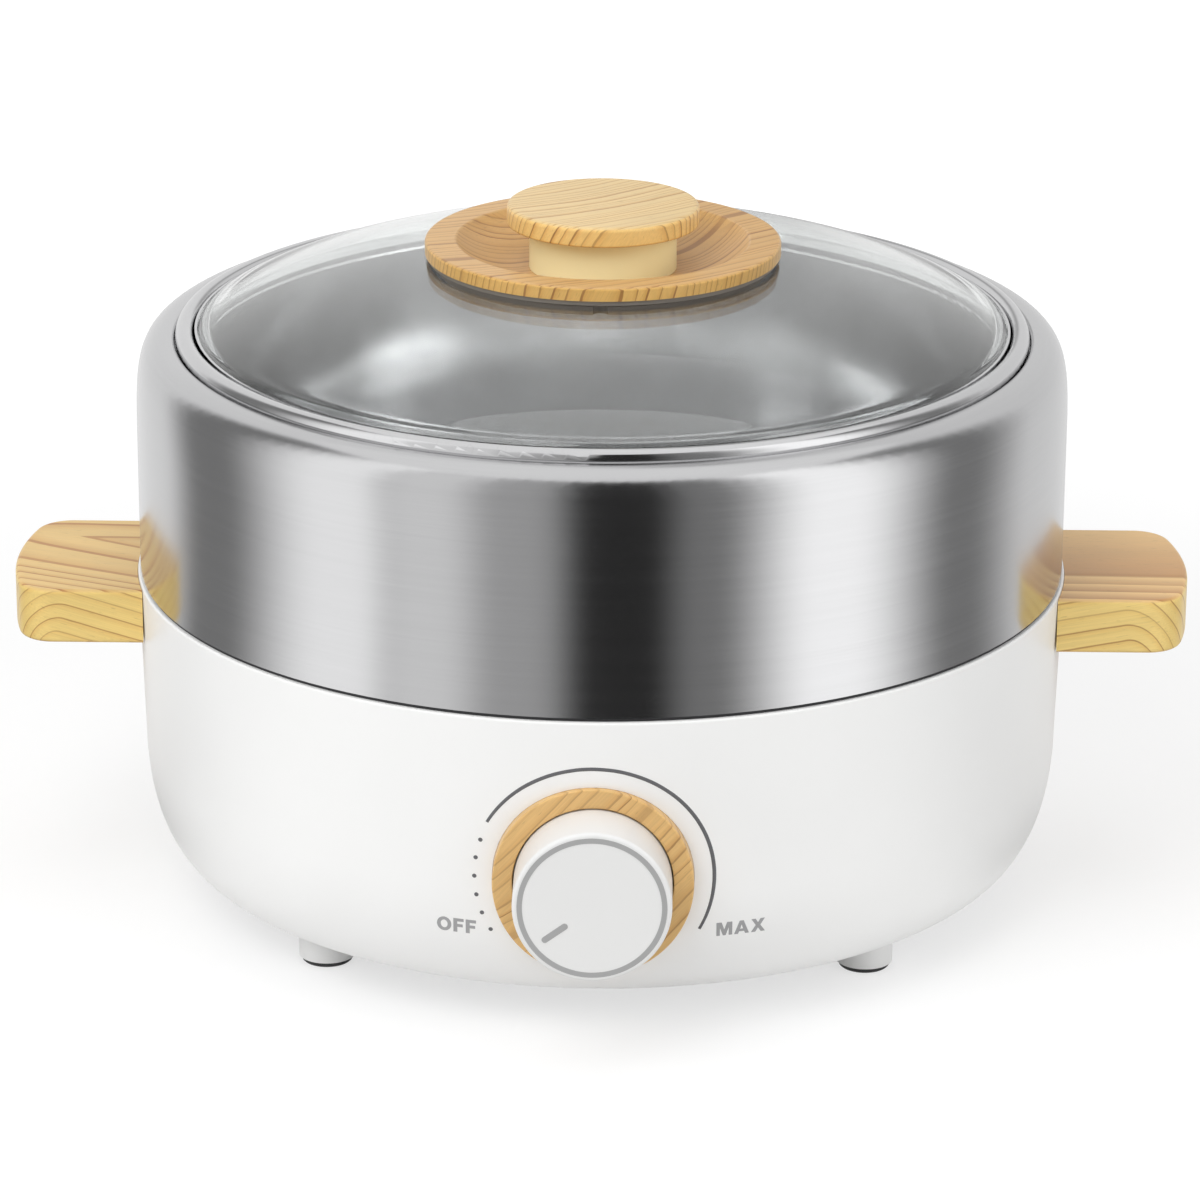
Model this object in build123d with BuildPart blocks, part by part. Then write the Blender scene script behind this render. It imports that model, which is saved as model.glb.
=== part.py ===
"""Electric hot pot: a removable stainless pot with a glass lid, in a heated base.

Millimetres, +Z up. The origin is on the pot's axis, in the plane of the four foot pads.
The control knob faces -Y and the two handles point along X.
"""

from build123d import *
from math import asin, cos, degrees, radians, sin, sqrt
import os

os.makedirs("parts", exist_ok=True)

# ---------------------------------------------------------------- clearances
seat_gap = 0.3  # between a lift-off piece and what carries it
lid_clearance = 0.4  # round the lid's band, in the pot's neck
pot_clearance = 0.9  # round the pot's neck, in the liner
rim_clearance = 0.3  # round the pot's rolled rim, in the shell's mouth
knob_clearance = 0.4  # round the knob, in its trim ring
running_fit = 0.06  # radial, shaft in its bush
push_fit = 0.1  # radial or per side, between pieces that stay together

# ---------------------------------------------------------------- steel shell
shell_radius = 150.0
shell_height = 76.5
shell_wall = 0.8
seam_gap = 1.2  # dark joint between housing and shell
seam_setback = 0.8
shoulder_width = 12.6  # from the shell's side in to its mouth
shoulder_height = 27.9  # from where the shell starts to turn in up to its top
shoulder_rise = 21.0  # pull of the shoulder curve, upwards
shoulder_reach = 10.0  # pull of the shoulder curve, along the top
lip_bend = 1.3
lip_depth = 3.7
shell_screw_inset = 5.0
shell_screw_count = 6
shell_screw_length = 6.0
shell_screw_start = 30.0  # keeps the screws clear of the handles' pads

# ---------------------------------------------------------------- base housing
base_top_z = 106.2
base_overhang = 0.9  # how far the housing's top stands out past the shell
side_draft = 1.6  # how far the straight side leans in, from its top to the skirt
skirt_width = 16.7
skirt_height = 38.6
underside_z = 12.0
wall = 2.2
floor_wall = 2.5
top_flange_width = 9.0  # under the shell
top_edge_round = 0.7

# ---------------------------------------------------------------- feet and bottom cover
foot_radius = 9.0
foot_inset = 11.9  # of a foot's centre from the edge of the underside
foot_peg_radius = 3.0
foot_peg_length = 6.0
pad_radius = 8.0
pad_stand = 1.8  # how far a pad stands out of its foot
pad_recess = 1.4
pad_chamfer = 0.4
cover_gap = 3.7  # between the cover and a foot
cover_thickness = 2.0
cover_ledge = 7.5  # ring of housing that the cover seats on
ledge_thickness = 2.0
cover_screw_count = 6
cover_boss_height = 8.0
vent_length = 24.0
vent_width = 3.2
vent_margin = 10.5  # between the outer slots and the ledge
vent_gap = 10.0  # between the two rows of slots
vent_counts = (18, 30)  # inner and outer row

# ---------------------------------------------------------------- liner
liner_wall = 0.8
liner_corner = 8.0
liner_lip = 2.1  # how far the flange reaches under the shell's lip
liner_boss_radius = 5.0

# ---------------------------------------------------------------- inner pot
pot_wall = 1.2
pot_corner = 14.0
ledge_width = 5.3  # step that carries the lid, inside the neck
ledge_drop = 0.5  # of the ledge below the rim's lower edge
ledge_bend = 2.0
rim_radius = 2.9  # of the rolled rim
rim_skirt = 3.9  # from the rolled rim's centre down to its lower edge

# ---------------------------------------------------------------- heating plate
plate_inset = 34.0  # of the plate's edge from the pot's inside
plate_thickness = 5.5
plate_edge_round = 1.5
plate_screw_bite = 2.8  # how far a screw goes into the plate
plate_screw_tip_gap = 1.0
element_inset = 30.0  # of the element from the plate's edge
element_radius = 3.2
element_gap_angle = 40.0
element_leg_drop = 12.0
element_leg_clearance = 2.0  # round a leg, where it goes through the liner
element_pin_radius = 1.1
element_pin_length = 6.0
spacer_inset = 12.0  # of a spacer from the plate's edge
spacer_radius = 5.0
spacer_height = 5.4
spacer_count = 3
cutout_place = (-34.0, 8.0)
cutout_radius = 8.0
cutout_tab = (27.2, 6.4, 0.8)
cutout_tab_lift = 1.0

# ---------------------------------------------------------------- temperature probe
probe_radius = 10.0
probe_wall = 1.0
probe_skirt = 7.0
probe_stem_radius = 2.0
probe_stem_drop = 6.0
spring_radius = 5.2
spring_wire_radius = 0.45
spring_turns = 4
spring_steps_per_turn = 12

# ---------------------------------------------------------------- lid
glass_thickness = 4.0
glass_edge_clearance = 0.1
glass_edge_height = 6.2
glass_edge_round = 2.6
glass_foot_round = 1.0
dome_rise = 21.6  # of the crown, at the hole, above the edge
dome_hole_radius = 46.2
dome_middle_inset = 50.0  # pull of the dome's curve near its middle, from the edge
dome_middle_drop = 1.7
dome_shoulder_inset = 18.0  # pull of the dome's curve near its edge
dome_shoulder_rise = 10.2
dome_inner_lean = (0.4, 0.9, 0.6)  # shares of a depth that keep the inner face at an even wall
band_wall = 0.8
band_height = 6.0
band_foot = 5.4
band_bend = 1.0
dish_overlap = 10.8  # of the dish's rim past the glass's hole
dish_rim_width = 10.0
dish_stand = 5.3  # of the dish's top above the crown
dish_edge = 4.3
dish_depth = 9.2
dish_floor_margin = 3.4  # of flat floor round the stem
dish_wall = 2.0
dish_skirt_wall = 1.7
dish_skirt_drop = 8.0
skirt_clearance = 0.5
dish_edge_round = 1.0
gasket_setback = 1.0
clamp_overlap = 6.3  # of the clamp ring past the glass's hole
clamp_height = 2.3
clamp_gap = 0.6
clamp_notches = 4
clamp_notch_radius = 2.3
stem_radius = 23.6
stem_wall = 2.4
stem_stand = 5.3  # of the stem's top above the dish's top
disc_overhang = 7.2  # of the disc past the stem
disc_thickness = 6.5
disc_round = 1.6
disc_foot_round = 0.8
disc_boss_radius = 7.5
disc_bore_depth = 3.2
disc_bolt_bite = 2.2

# ---------------------------------------------------------------- handles
handle_reach = 40.1  # of the tip past the housing
handle_tip_bulge = 6.0
handle_gap = 0.1
handle_width = 70.8
handle_thickness = 18.0
handle_drop = 0.9  # of its top below the top of the housing
handle_corner = 12.0
handle_round = 1.6
handle_screw_spacing = 40.0
handle_screw_length = 24.0
handle_screw_tip_gap = 1.0  # between a screw's end and the end of its hole
handle_pad_depth = 7.9  # of the housing's pad behind a handle, in from its top edge
handle_pad_width = 55.0

# ---------------------------------------------------------------- control
knob_z = 54.5
trim_outer_radius = 30.7
trim_inner_radius = 24.5
trim_stand = 2.7  # how far the trim ring stands out of the side
trim_round = 0.6
pocket_depth = 8.3
pocket_wall = 2.2
knob_reach = 21.2  # how far the knob stands out of the side
knob_wall = 2.2
knob_back_gap = 2.0
knob_edge_round = 1.2
hub_radius = 6.0
hub_gap = 1.0  # between the knob's hub and the thermostat's bush
knob_rib = 1.1
inlay_inset = 1.5  # of the grey ring from the knob's edge
inlay_width = 1.6
inlay_depth = 0.6
inlay_proud = 0.1
pointer_angle = 216.4  # from +X, anticlockwise seen from the front
pointer_inner = 9.2
pointer_outer = 18.5
pointer_width = 2.0
shaft_radius = 3.0
shaft_flat = 1.6  # from the axis to the flat
shaft_depth = 8.0  # how far the shaft goes into the thermostat
bush_radius = 4.6
bush_length = 5.2
nut_across_flats = 13.0
nut_thickness = 2.4
thermostat_size = (30.0, 24.0, 21.0)  # along X, Y and Z
thermostat_corner = 2.0
thermostat_gap = 3.0  # between the thermostat and the liner above it
terminal = (0.8, 6.3, 8.0)  # thickness, width and length
terminal_spacing = 15.0

# ---------------------------------------------------------------- power inlet
inlet_z = 52.0
inlet_sink = 1.1  # of the flange's seat below the side
inlet_pad_depth = 6.3
inlet_flange = (33.0, 25.6)
inlet_flange_thickness = 1.6
inlet_flange_corner = 3.0
inlet_body = (28.0, 20.4)
inlet_socket = (24.4, 16.8)
inlet_socket_depth = 16.0
inlet_depth = 19.6
inlet_corner = 5.0
inlet_pin = (4.0, 2.0)
inlet_pin_spacing = 14.0
inlet_pin_offset = 4.0
inlet_pin_free = 14.0
inlet_pin_chamfer = 0.4
inlet_tab_length = 8.0

# ---------------------------------------------------------------- fasteners
small_screw = (1.5, 2.8, 1.8)  # shank radius, head radius and head height
large_screw = (2.0, 3.8, 2.4)
knob_bolt = (2.5, 5.0, 3.0)
screw_slot = 0.8
small_screw_length = 10.0

# ---------------------------------------------------------------- worked-out sizes: shell and housing
shell_bottom_z = base_top_z + seam_gap
shell_top_z = shell_bottom_z + shell_height
shoulder_z = shell_top_z - shoulder_height
mouth_radius = shell_radius - shoulder_width
shell_screw_circle = shell_radius - shell_screw_inset
top_flange_inner_radius = shell_radius - top_flange_width
base_top_radius = shell_radius + base_overhang
side_radius = base_top_radius - side_draft  # where the straight side meets the curved skirt
side_z = underside_z + skirt_height
underside_radius = side_radius - skirt_width
flange_z = base_top_z - floor_wall
floor_z = underside_z + floor_wall

# ---------------------------------------------------------------- worked-out sizes: feet and cover
foot_circle = underside_radius - foot_inset
foot_spacing = foot_circle * sqrt(2)  # between foot centres, along X and Y
cover_radius = foot_circle - foot_radius - cover_gap
cover_seat_z = underside_z + cover_thickness
ledge_inner_radius = cover_radius - cover_ledge
cover_screw_circle = cover_radius - cover_ledge / 2
ledge_top_z = cover_seat_z + ledge_thickness
boss_top_z = ledge_top_z + cover_boss_height
outer_vent_radius = ledge_inner_radius - vent_margin - vent_length / 2
inner_vent_radius = outer_vent_radius - vent_gap - vent_length

# ---------------------------------------------------------------- worked-out sizes: pot, liner and plate
neck_radius = mouth_radius - rim_clearance - 2 * rim_radius
pot_radius = neck_radius - ledge_width  # inside
liner_top_z = shell_top_z - lip_depth
liner_outer_radius = neck_radius + pot_wall + pot_clearance + liner_wall
liner_flange_radius = mouth_radius + liner_lip
liner_bottom_z = knob_z + thermostat_size[2] / 2 + thermostat_gap
liner_floor_z = liner_bottom_z + liner_wall
plate_bottom_z = liner_floor_z + spacer_height
plate_top_z = plate_bottom_z + plate_thickness
plate_radius = pot_radius - plate_inset
element_circle = plate_radius - element_inset
spacer_circle = plate_radius - spacer_inset
pot_bottom_z = plate_top_z + seat_gap
rim_skirt_z = liner_top_z + seat_gap  # lower edge of the rolled rim
rim_centre_z = rim_skirt_z + rim_skirt
rim_centre_radius = neck_radius + rim_radius
lid_ledge_z = rim_skirt_z - ledge_drop

# ---------------------------------------------------------------- worked-out sizes: lid
glass_radius = neck_radius - lid_clearance - band_wall - glass_edge_clearance
band_bottom_z = lid_ledge_z + seat_gap
glass_bottom_z = band_bottom_z + band_wall
dome_edge_z = glass_bottom_z + glass_edge_height
dome_crown_z = dome_edge_z + dome_rise  # at the hole
dish_radius = dome_hole_radius + dish_overlap
dish_top_z = dome_crown_z + dish_stand
dish_floor_z = dish_top_z - dish_depth
dish_floor_radius = stem_radius + dish_floor_margin
dish_seat_z = dish_top_z - dish_edge
skirt_radius = dome_hole_radius - skirt_clearance
clamp_radius = dome_hole_radius + clamp_overlap
disc_radius = stem_radius + disc_overhang
disc_bottom_z = dish_top_z + stem_stand

# ---------------------------------------------------------------- worked-out sizes: handles and fittings
handle_top_z = base_top_z - handle_drop
handle_middle_z = handle_top_z - handle_thickness / 2
handle_tip_x = base_top_radius + handle_reach
handle_pad_x = base_top_radius - handle_pad_depth
trim_front_y = -side_radius - trim_stand
pocket_floor_y = -side_radius + pocket_depth
pocket_back_y = pocket_floor_y + pocket_wall
knob_radius = trim_inner_radius - knob_clearance
knob_back_y = pocket_floor_y - knob_back_gap
knob_front_y = -side_radius - knob_reach
inlay_outer_radius = knob_radius - inlay_inset
flat_cut = (4 * shaft_radius, 2 * shaft_radius)  # clears all of the shaft beyond its flat
inlet_face_y = side_radius - inlet_sink
inlet_pad_back_y = side_radius - inlet_pad_depth


def screw(sizes, length):
    """A pan-head screw along +Z, with its shank from z = 0 up and its head below."""
    shank_radius, head_radius, head_height = sizes
    crown = head_height / 2
    crown_radius = (head_radius**2 + crown**2) / (2 * crown)
    with BuildPart() as blank:
        with BuildSketch(Plane.XZ):
            with BuildLine():
                Polyline((0, length), (shank_radius, length - shank_radius / 2), (shank_radius, 0))
                Polyline((shank_radius, 0), (head_radius, 0), (head_radius, -crown))
                RadiusArc((head_radius, -crown), (0, -head_height), crown_radius)
                Line((0, -head_height), (0, length))
            make_face()
        revolve(axis=Axis.Z)
        with BuildSketch(Plane.XY.offset(-head_height)):
            Rectangle(head_radius * 1.1, screw_slot)
            Rectangle(screw_slot, head_radius * 1.1)
        extrude(amount=head_height / 2, mode=Mode.SUBTRACT)
    return blank.part


def dome_curve(depth):
    """The glass dome's line in section, from its hole to its edge, `depth` below its outer face."""
    lean_in, lean_down, edge_down = dome_inner_lean
    return Bezier(
        (dome_hole_radius, dome_crown_z - depth),
        (glass_radius - dome_middle_inset, dome_crown_z - dome_middle_drop - depth),
        (
            glass_radius - dome_shoulder_inset - lean_in * depth,
            dome_edge_z + dome_shoulder_rise - lean_down * depth,
        ),
        (glass_radius - depth, dome_edge_z - edge_down * depth),
    )


def facing_front(y):
    """A plane at `y` on the knob's axis, whose normal points out of the front."""
    return Plane(origin=(0, y, knob_z), x_dir=(1, 0, 0), z_dir=(0, -1, 0))


def facing_back(y):
    """A plane at `y` on the inlet's axis, whose normal points out of the back."""
    return Plane(origin=(0, y, inlet_z), x_dir=(-1, 0, 0), z_dir=(0, 1, 0))


def finish(piece, name):
    """Label a finished piece and write it as its own node."""
    piece.part.label = name
    export_step(piece.part, f"parts/{name}.step")


# ================================================================ base housing
def housing_section(bottom_z, side_wall, top_z):
    """Half of the housing's section, with its skirt and side set in by `side_wall`."""
    with BuildSketch(Plane.XZ) as half:
        with BuildLine():
            bottom = Line((0, bottom_z), (underside_radius, bottom_z))
            skirt = EllipticalCenterArc(
                (underside_radius, side_z),
                side_radius - side_wall - underside_radius,
                side_z - bottom_z,
                start_angle=-90,
                arc_size=90,
            )
            side = Line(skirt @ 1, (base_top_radius - side_wall, top_z))
            Polyline(side @ 1, (0, top_z), bottom @ 0)
        make_face()
    return half.sketch


with BuildPart() as housing_form:
    revolve(housing_section(underside_z, 0, base_top_z), axis=Axis.Z)
    fillet(housing_form.edges().group_by(Axis.Z)[-1].sort_by(Axis.X)[-1], top_edge_round)

# The room inside the housing, less the bosses and pads that stand in it.
with BuildPart() as housing_room:
    revolve(housing_section(floor_z, wall, flange_z), axis=Axis.Z)
    with BuildSketch(Plane.XY.offset(floor_z)):
        Circle(cover_radius + floor_wall)
        Circle(ledge_inner_radius, mode=Mode.SUBTRACT)
    extrude(amount=ledge_top_z - floor_z, mode=Mode.SUBTRACT)
    with BuildSketch(Plane.XY.offset(floor_z)):
        with PolarLocations(cover_screw_circle, cover_screw_count):
            Circle(small_screw[0] + wall)
    extrude(amount=boss_top_z - floor_z, mode=Mode.SUBTRACT)
    with BuildSketch(Plane.XY.offset(floor_z)):
        with GridLocations(foot_spacing, foot_spacing, 2, 2):
            Circle(liner_boss_radius)
    extrude(amount=liner_bottom_z - floor_z, mode=Mode.SUBTRACT)
    with BuildSketch(Plane.XY.offset(handle_middle_z - handle_thickness / 2)):
        with Locations((-side_radius, 0), (side_radius, 0)):
            Rectangle(2 * (side_radius - handle_pad_x), handle_pad_width)
    extrude(amount=flange_z - handle_middle_z + handle_thickness / 2, mode=Mode.SUBTRACT)
    with BuildSketch(facing_front(pocket_back_y)):
        Circle(trim_outer_radius + push_fit + pocket_wall)
    extrude(amount=side_radius + pocket_back_y, mode=Mode.SUBTRACT)
    with BuildSketch(facing_back(inlet_pad_back_y)):
        Rectangle(inlet_flange[0] + 2 * wall, inlet_flange[1] + 2 * wall)
    extrude(amount=side_radius - inlet_pad_back_y, mode=Mode.SUBTRACT)

with BuildPart() as base_housing:
    add(housing_form.part)
    add(housing_room.part, mode=Mode.SUBTRACT)
    with BuildSketch(Plane.XY.offset(flange_z)):
        Circle(top_flange_inner_radius)
    extrude(amount=floor_wall, mode=Mode.SUBTRACT)
    with BuildSketch(Plane.XY.offset(underside_z)):
        Circle(cover_radius)
    extrude(amount=cover_thickness, mode=Mode.SUBTRACT)
    with BuildSketch(Plane.XY.offset(cover_seat_z)):
        Circle(ledge_inner_radius)
    extrude(amount=ledge_thickness, mode=Mode.SUBTRACT)
    with BuildSketch(Plane.XY.offset(underside_z)):
        with GridLocations(foot_spacing, foot_spacing, 2, 2):
            Circle(foot_peg_radius + push_fit)
    extrude(amount=foot_peg_length + push_fit, mode=Mode.SUBTRACT)
    with BuildSketch(Plane.XY.offset(cover_seat_z)):
        with PolarLocations(cover_screw_circle, cover_screw_count):
            Circle(small_screw[0] + push_fit)
    extrude(amount=small_screw_length, mode=Mode.SUBTRACT)
    with BuildSketch(Plane.XY.offset(liner_bottom_z)):
        with GridLocations(foot_spacing, foot_spacing, 2, 2):
            Circle(small_screw[0] + push_fit)
    extrude(amount=-small_screw_length, mode=Mode.SUBTRACT)
    with BuildSketch(Plane.XY.offset(flange_z)):
        with PolarLocations(shell_screw_circle, shell_screw_count, start_angle=shell_screw_start):
            Circle(small_screw[0] + push_fit)
    extrude(amount=floor_wall, mode=Mode.SUBTRACT)
    with BuildSketch(Plane.YZ.offset(-base_top_radius)):
        with Locations((0, handle_middle_z)):
            with GridLocations(handle_screw_spacing, 1, 2, 1):
                Circle(large_screw[0] + push_fit)
    extrude(amount=2 * base_top_radius, mode=Mode.SUBTRACT)
    with BuildSketch(facing_front(pocket_floor_y)):
        Circle(trim_outer_radius + push_fit)
    extrude(amount=base_top_radius + pocket_floor_y, mode=Mode.SUBTRACT)
    with BuildSketch(facing_front(pocket_back_y)):
        Circle(bush_radius + push_fit)
    extrude(amount=pocket_wall, mode=Mode.SUBTRACT)
    with BuildSketch(facing_back(inlet_face_y)):
        RectangleRounded(*[side + 2 * push_fit for side in inlet_flange], inlet_flange_corner)
    extrude(amount=base_top_radius - inlet_face_y, mode=Mode.SUBTRACT)
    with BuildSketch(facing_back(inlet_pad_back_y)):
        Rectangle(inlet_body[0] + 2 * push_fit, inlet_body[1] + 2 * push_fit)
    extrude(amount=inlet_face_y - inlet_pad_back_y, mode=Mode.SUBTRACT)
finish(base_housing, "base_housing")

# ================================================================ feet and bottom cover
with BuildPart() as feet:
    with BuildSketch(Plane.XY.offset(pad_stand)):
        with GridLocations(foot_spacing, foot_spacing, 2, 2):
            Circle(foot_radius)
    extrude(amount=underside_z - pad_stand)
    with BuildSketch(Plane.XY.offset(underside_z)):
        with GridLocations(foot_spacing, foot_spacing, 2, 2):
            Circle(foot_peg_radius)
    extrude(amount=foot_peg_length)
    with BuildSketch(Plane.XY.offset(pad_stand)):
        with GridLocations(foot_spacing, foot_spacing, 2, 2):
            Circle(pad_radius + push_fit)
    extrude(amount=pad_recess, mode=Mode.SUBTRACT)
finish(feet, "feet")

with BuildPart() as foot_pads:
    with BuildSketch(Plane.XY):
        with GridLocations(foot_spacing, foot_spacing, 2, 2):
            Circle(pad_radius)
    extrude(amount=pad_stand + pad_recess)
    chamfer(foot_pads.edges().group_by(Axis.Z)[0], pad_chamfer)
finish(foot_pads, "foot_pads")

with BuildPart() as bottom_cover:
    with BuildSketch(Plane.XY.offset(underside_z)):
        Circle(cover_radius - push_fit)
        for row_radius, slot_count in zip((inner_vent_radius, outer_vent_radius), vent_counts):
            with PolarLocations(row_radius, slot_count):
                SlotOverall(vent_length, vent_width, mode=Mode.SUBTRACT)
        with PolarLocations(cover_screw_circle, cover_screw_count):
            Circle(small_screw[0] + push_fit, mode=Mode.SUBTRACT)
    extrude(amount=cover_thickness)
finish(bottom_cover, "bottom_cover")

with BuildPart(Plane.XY.offset(underside_z)) as cover_screws:
    with PolarLocations(cover_screw_circle, cover_screw_count):
        add(screw(small_screw, small_screw_length))
finish(cover_screws, "cover_screws")

# ================================================================ steel shell and its seal
def shoulder_curve(depth):
    """The shell's shoulder in section, from its side to its lip, `depth` below its outer face."""
    return Bezier(
        (shell_radius - depth, shoulder_z),
        (shell_radius - depth, shoulder_z + shoulder_rise - depth / 2),
        (mouth_radius + lip_bend + shoulder_reach - depth / 2, shell_top_z - depth),
        (mouth_radius + lip_bend, shell_top_z - depth),
    )


with BuildPart() as steel_shell:
    with BuildSketch(Plane.XZ):
        with BuildLine():
            outer_shoulder = shoulder_curve(0)
            inner_shoulder = shoulder_curve(shell_wall)
            Polyline(
                outer_shoulder @ 0,
                (shell_radius, shell_bottom_z),
                (top_flange_inner_radius, shell_bottom_z),
                (top_flange_inner_radius, shell_bottom_z + shell_wall),
                (shell_radius - shell_wall, shell_bottom_z + shell_wall),
                inner_shoulder @ 0,
            )
            lip_centre = (mouth_radius + lip_bend, shell_top_z - lip_bend)
            outer_bend = CenterArc(lip_centre, lip_bend, 90, 90)
            inner_bend = CenterArc(lip_centre, lip_bend - shell_wall, 90, 90)
            Polyline(
                outer_bend @ 1,
                (mouth_radius, liner_top_z),
                (mouth_radius + shell_wall, liner_top_z),
                inner_bend @ 1,
            )
        make_face()
    revolve(axis=Axis.Z)
    with BuildSketch(Plane.XY.offset(shell_bottom_z)):
        with PolarLocations(shell_screw_circle, shell_screw_count, start_angle=shell_screw_start):
            Circle(small_screw[0] + push_fit)
    extrude(amount=shell_wall, mode=Mode.SUBTRACT)
finish(steel_shell, "steel_shell")

with BuildPart() as seam_seal:
    with BuildSketch(Plane.XY.offset(base_top_z)):
        Circle(shell_radius - seam_setback)
        Circle(top_flange_inner_radius, mode=Mode.SUBTRACT)
        with PolarLocations(shell_screw_circle, shell_screw_count, start_angle=shell_screw_start):
            Circle(small_screw[0] + push_fit, mode=Mode.SUBTRACT)
    extrude(amount=seam_gap)
finish(seam_seal, "seam_seal")

with BuildPart(Plane.XY.offset(flange_z)) as shell_screws:
    with PolarLocations(shell_screw_circle, shell_screw_count, start_angle=shell_screw_start):
        add(screw(small_screw, shell_screw_length))
finish(shell_screws, "shell_screws")

# ================================================================ liner
leg_angles = (90 - element_gap_angle / 2, 90 + element_gap_angle / 2)
leg_places = [(element_circle * cos(radians(a)), element_circle * sin(radians(a))) for a in leg_angles]
with BuildPart() as liner:
    with BuildSketch(Plane.XZ):
        with BuildLine():
            FilletPolyline(
                (0, liner_bottom_z),
                (liner_outer_radius, liner_bottom_z),
                (liner_outer_radius, liner_top_z - liner_wall),
                (liner_flange_radius, liner_top_z - liner_wall),
                radius=(liner_corner, liner_wall),
            )
            offset(amount=liner_wall, side=Side.LEFT)
        make_face()
    revolve(axis=Axis.Z)
    with BuildSketch(Plane.XY.offset(liner_bottom_z)):
        Circle(probe_stem_radius + running_fit)
        with Locations(*leg_places):
            Circle(element_radius + element_leg_clearance)
        with GridLocations(foot_spacing, foot_spacing, 2, 2):
            Circle(small_screw[0] + push_fit)
        with PolarLocations(spacer_circle, spacer_count):
            Circle(large_screw[0] + push_fit)
    extrude(amount=liner_wall, mode=Mode.SUBTRACT)
finish(liner, "liner")

with BuildPart(Plane.XY.offset(liner_floor_z)) as liner_screws:
    with GridLocations(foot_spacing, foot_spacing, 2, 2):
        add(screw(small_screw, small_screw_length), rotation=(180, 0, 0))
finish(liner_screws, "liner_screws")

# ================================================================ heating plate
with BuildPart() as heating_plate:
    with BuildSketch(Plane.XY.offset(plate_bottom_z)):
        Circle(plate_radius)
        Circle(probe_radius + probe_wall, mode=Mode.SUBTRACT)
    extrude(amount=plate_thickness)
    fillet(heating_plate.edges().group_by(Axis.Z)[-1].sort_by(Axis.X)[-1], plate_edge_round)
    with BuildSketch(Plane.XZ):
        with Locations((element_circle, plate_bottom_z)):
            Circle(element_radius + push_fit)
    revolve(axis=Axis.Z, mode=Mode.SUBTRACT)
    with BuildSketch(Plane.XY.offset(plate_bottom_z)):
        with PolarLocations(spacer_circle, spacer_count):
            Circle(large_screw[0] + push_fit)
    extrude(amount=plate_screw_bite + plate_screw_tip_gap, mode=Mode.SUBTRACT)
finish(heating_plate, "heating_plate")

with BuildPart() as heating_element:
    with BuildSketch(Plane.XZ.rotated((0, 0, leg_angles[1]))):
        with Locations((element_circle, plate_bottom_z)):
            Circle(element_radius)
    revolve(axis=Axis.Z, revolution_arc=360 - element_gap_angle)
    for x, y in leg_places:
        with Locations((x, y, plate_bottom_z)):
            Sphere(element_radius)
        with BuildSketch(Plane.XY.offset(plate_bottom_z)):
            with Locations((x, y)):
                Circle(element_radius)
        extrude(amount=-element_leg_drop)
        with BuildSketch(Plane.XY.offset(plate_bottom_z - element_leg_drop)):
            with Locations((x, y)):
                Circle(element_pin_radius)
        extrude(amount=-element_pin_length)
finish(heating_element, "heating_element")

with BuildPart() as plate_spacers:
    with BuildSketch(Plane.XY.offset(liner_floor_z)):
        with PolarLocations(spacer_circle, spacer_count):
            Circle(spacer_radius)
            Circle(large_screw[0] + push_fit, mode=Mode.SUBTRACT)
    extrude(amount=spacer_height)
finish(plate_spacers, "plate_spacers")

with BuildPart(Plane.XY.offset(liner_bottom_z)) as plate_screws:
    with PolarLocations(spacer_circle, spacer_count):
        add(screw(large_screw, plate_bottom_z - liner_bottom_z + plate_screw_bite))
finish(plate_screws, "plate_screws")

with BuildPart() as thermal_cutout:
    with BuildSketch(Plane.XY.offset(liner_floor_z)):
        with Locations(cutout_place):
            Circle(cutout_radius)
    extrude(amount=spacer_height)
    with BuildSketch(Plane.XY.offset(liner_floor_z + cutout_tab_lift)):
        with Locations(cutout_place):
            Rectangle(*cutout_tab[:2])
    extrude(amount=cutout_tab[2])
finish(thermal_cutout, "thermal_cutout")

# ================================================================ temperature probe
probe_base_z = plate_top_z - probe_skirt
with BuildPart() as temperature_probe:
    with BuildSketch(Plane.XZ):
        with BuildLine():
            Polyline(
                (0, plate_top_z),
                (probe_radius, plate_top_z),
                (probe_radius, probe_base_z),
                (probe_radius - probe_wall, probe_base_z),
                (probe_radius - probe_wall, plate_top_z - probe_wall),
                (probe_stem_radius, plate_top_z - probe_wall),
                (probe_stem_radius, liner_bottom_z - probe_stem_drop),
                (0, liner_bottom_z - probe_stem_drop),
                close=True,
            )
        make_face()
    revolve(axis=Axis.Z)
    fillet(temperature_probe.edges().group_by(Axis.Z)[-1], probe_wall / 2)
finish(temperature_probe, "temperature_probe")

spring_height = plate_top_z - probe_wall - liner_floor_z - 2 * spring_wire_radius
spring_foot_z = liner_floor_z + spring_wire_radius
coil_steps = spring_turns * spring_steps_per_turn
coil_points = [
    (
        spring_radius * cos(radians(360 * step / spring_steps_per_turn)),
        spring_radius * sin(radians(360 * step / spring_steps_per_turn)),
        spring_foot_z + spring_height * step / coil_steps,
    )
    for step in range(coil_steps + 1)
]
with BuildPart() as probe_spring:
    with BuildLine() as coil:
        Polyline(*coil_points)
    with BuildSketch(Plane(origin=coil.line @ 0, z_dir=coil.line % 0)):
        RegularPolygon(spring_wire_radius, 6)
    sweep(transition=Transition.RIGHT)
finish(probe_spring, "probe_spring")

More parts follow.
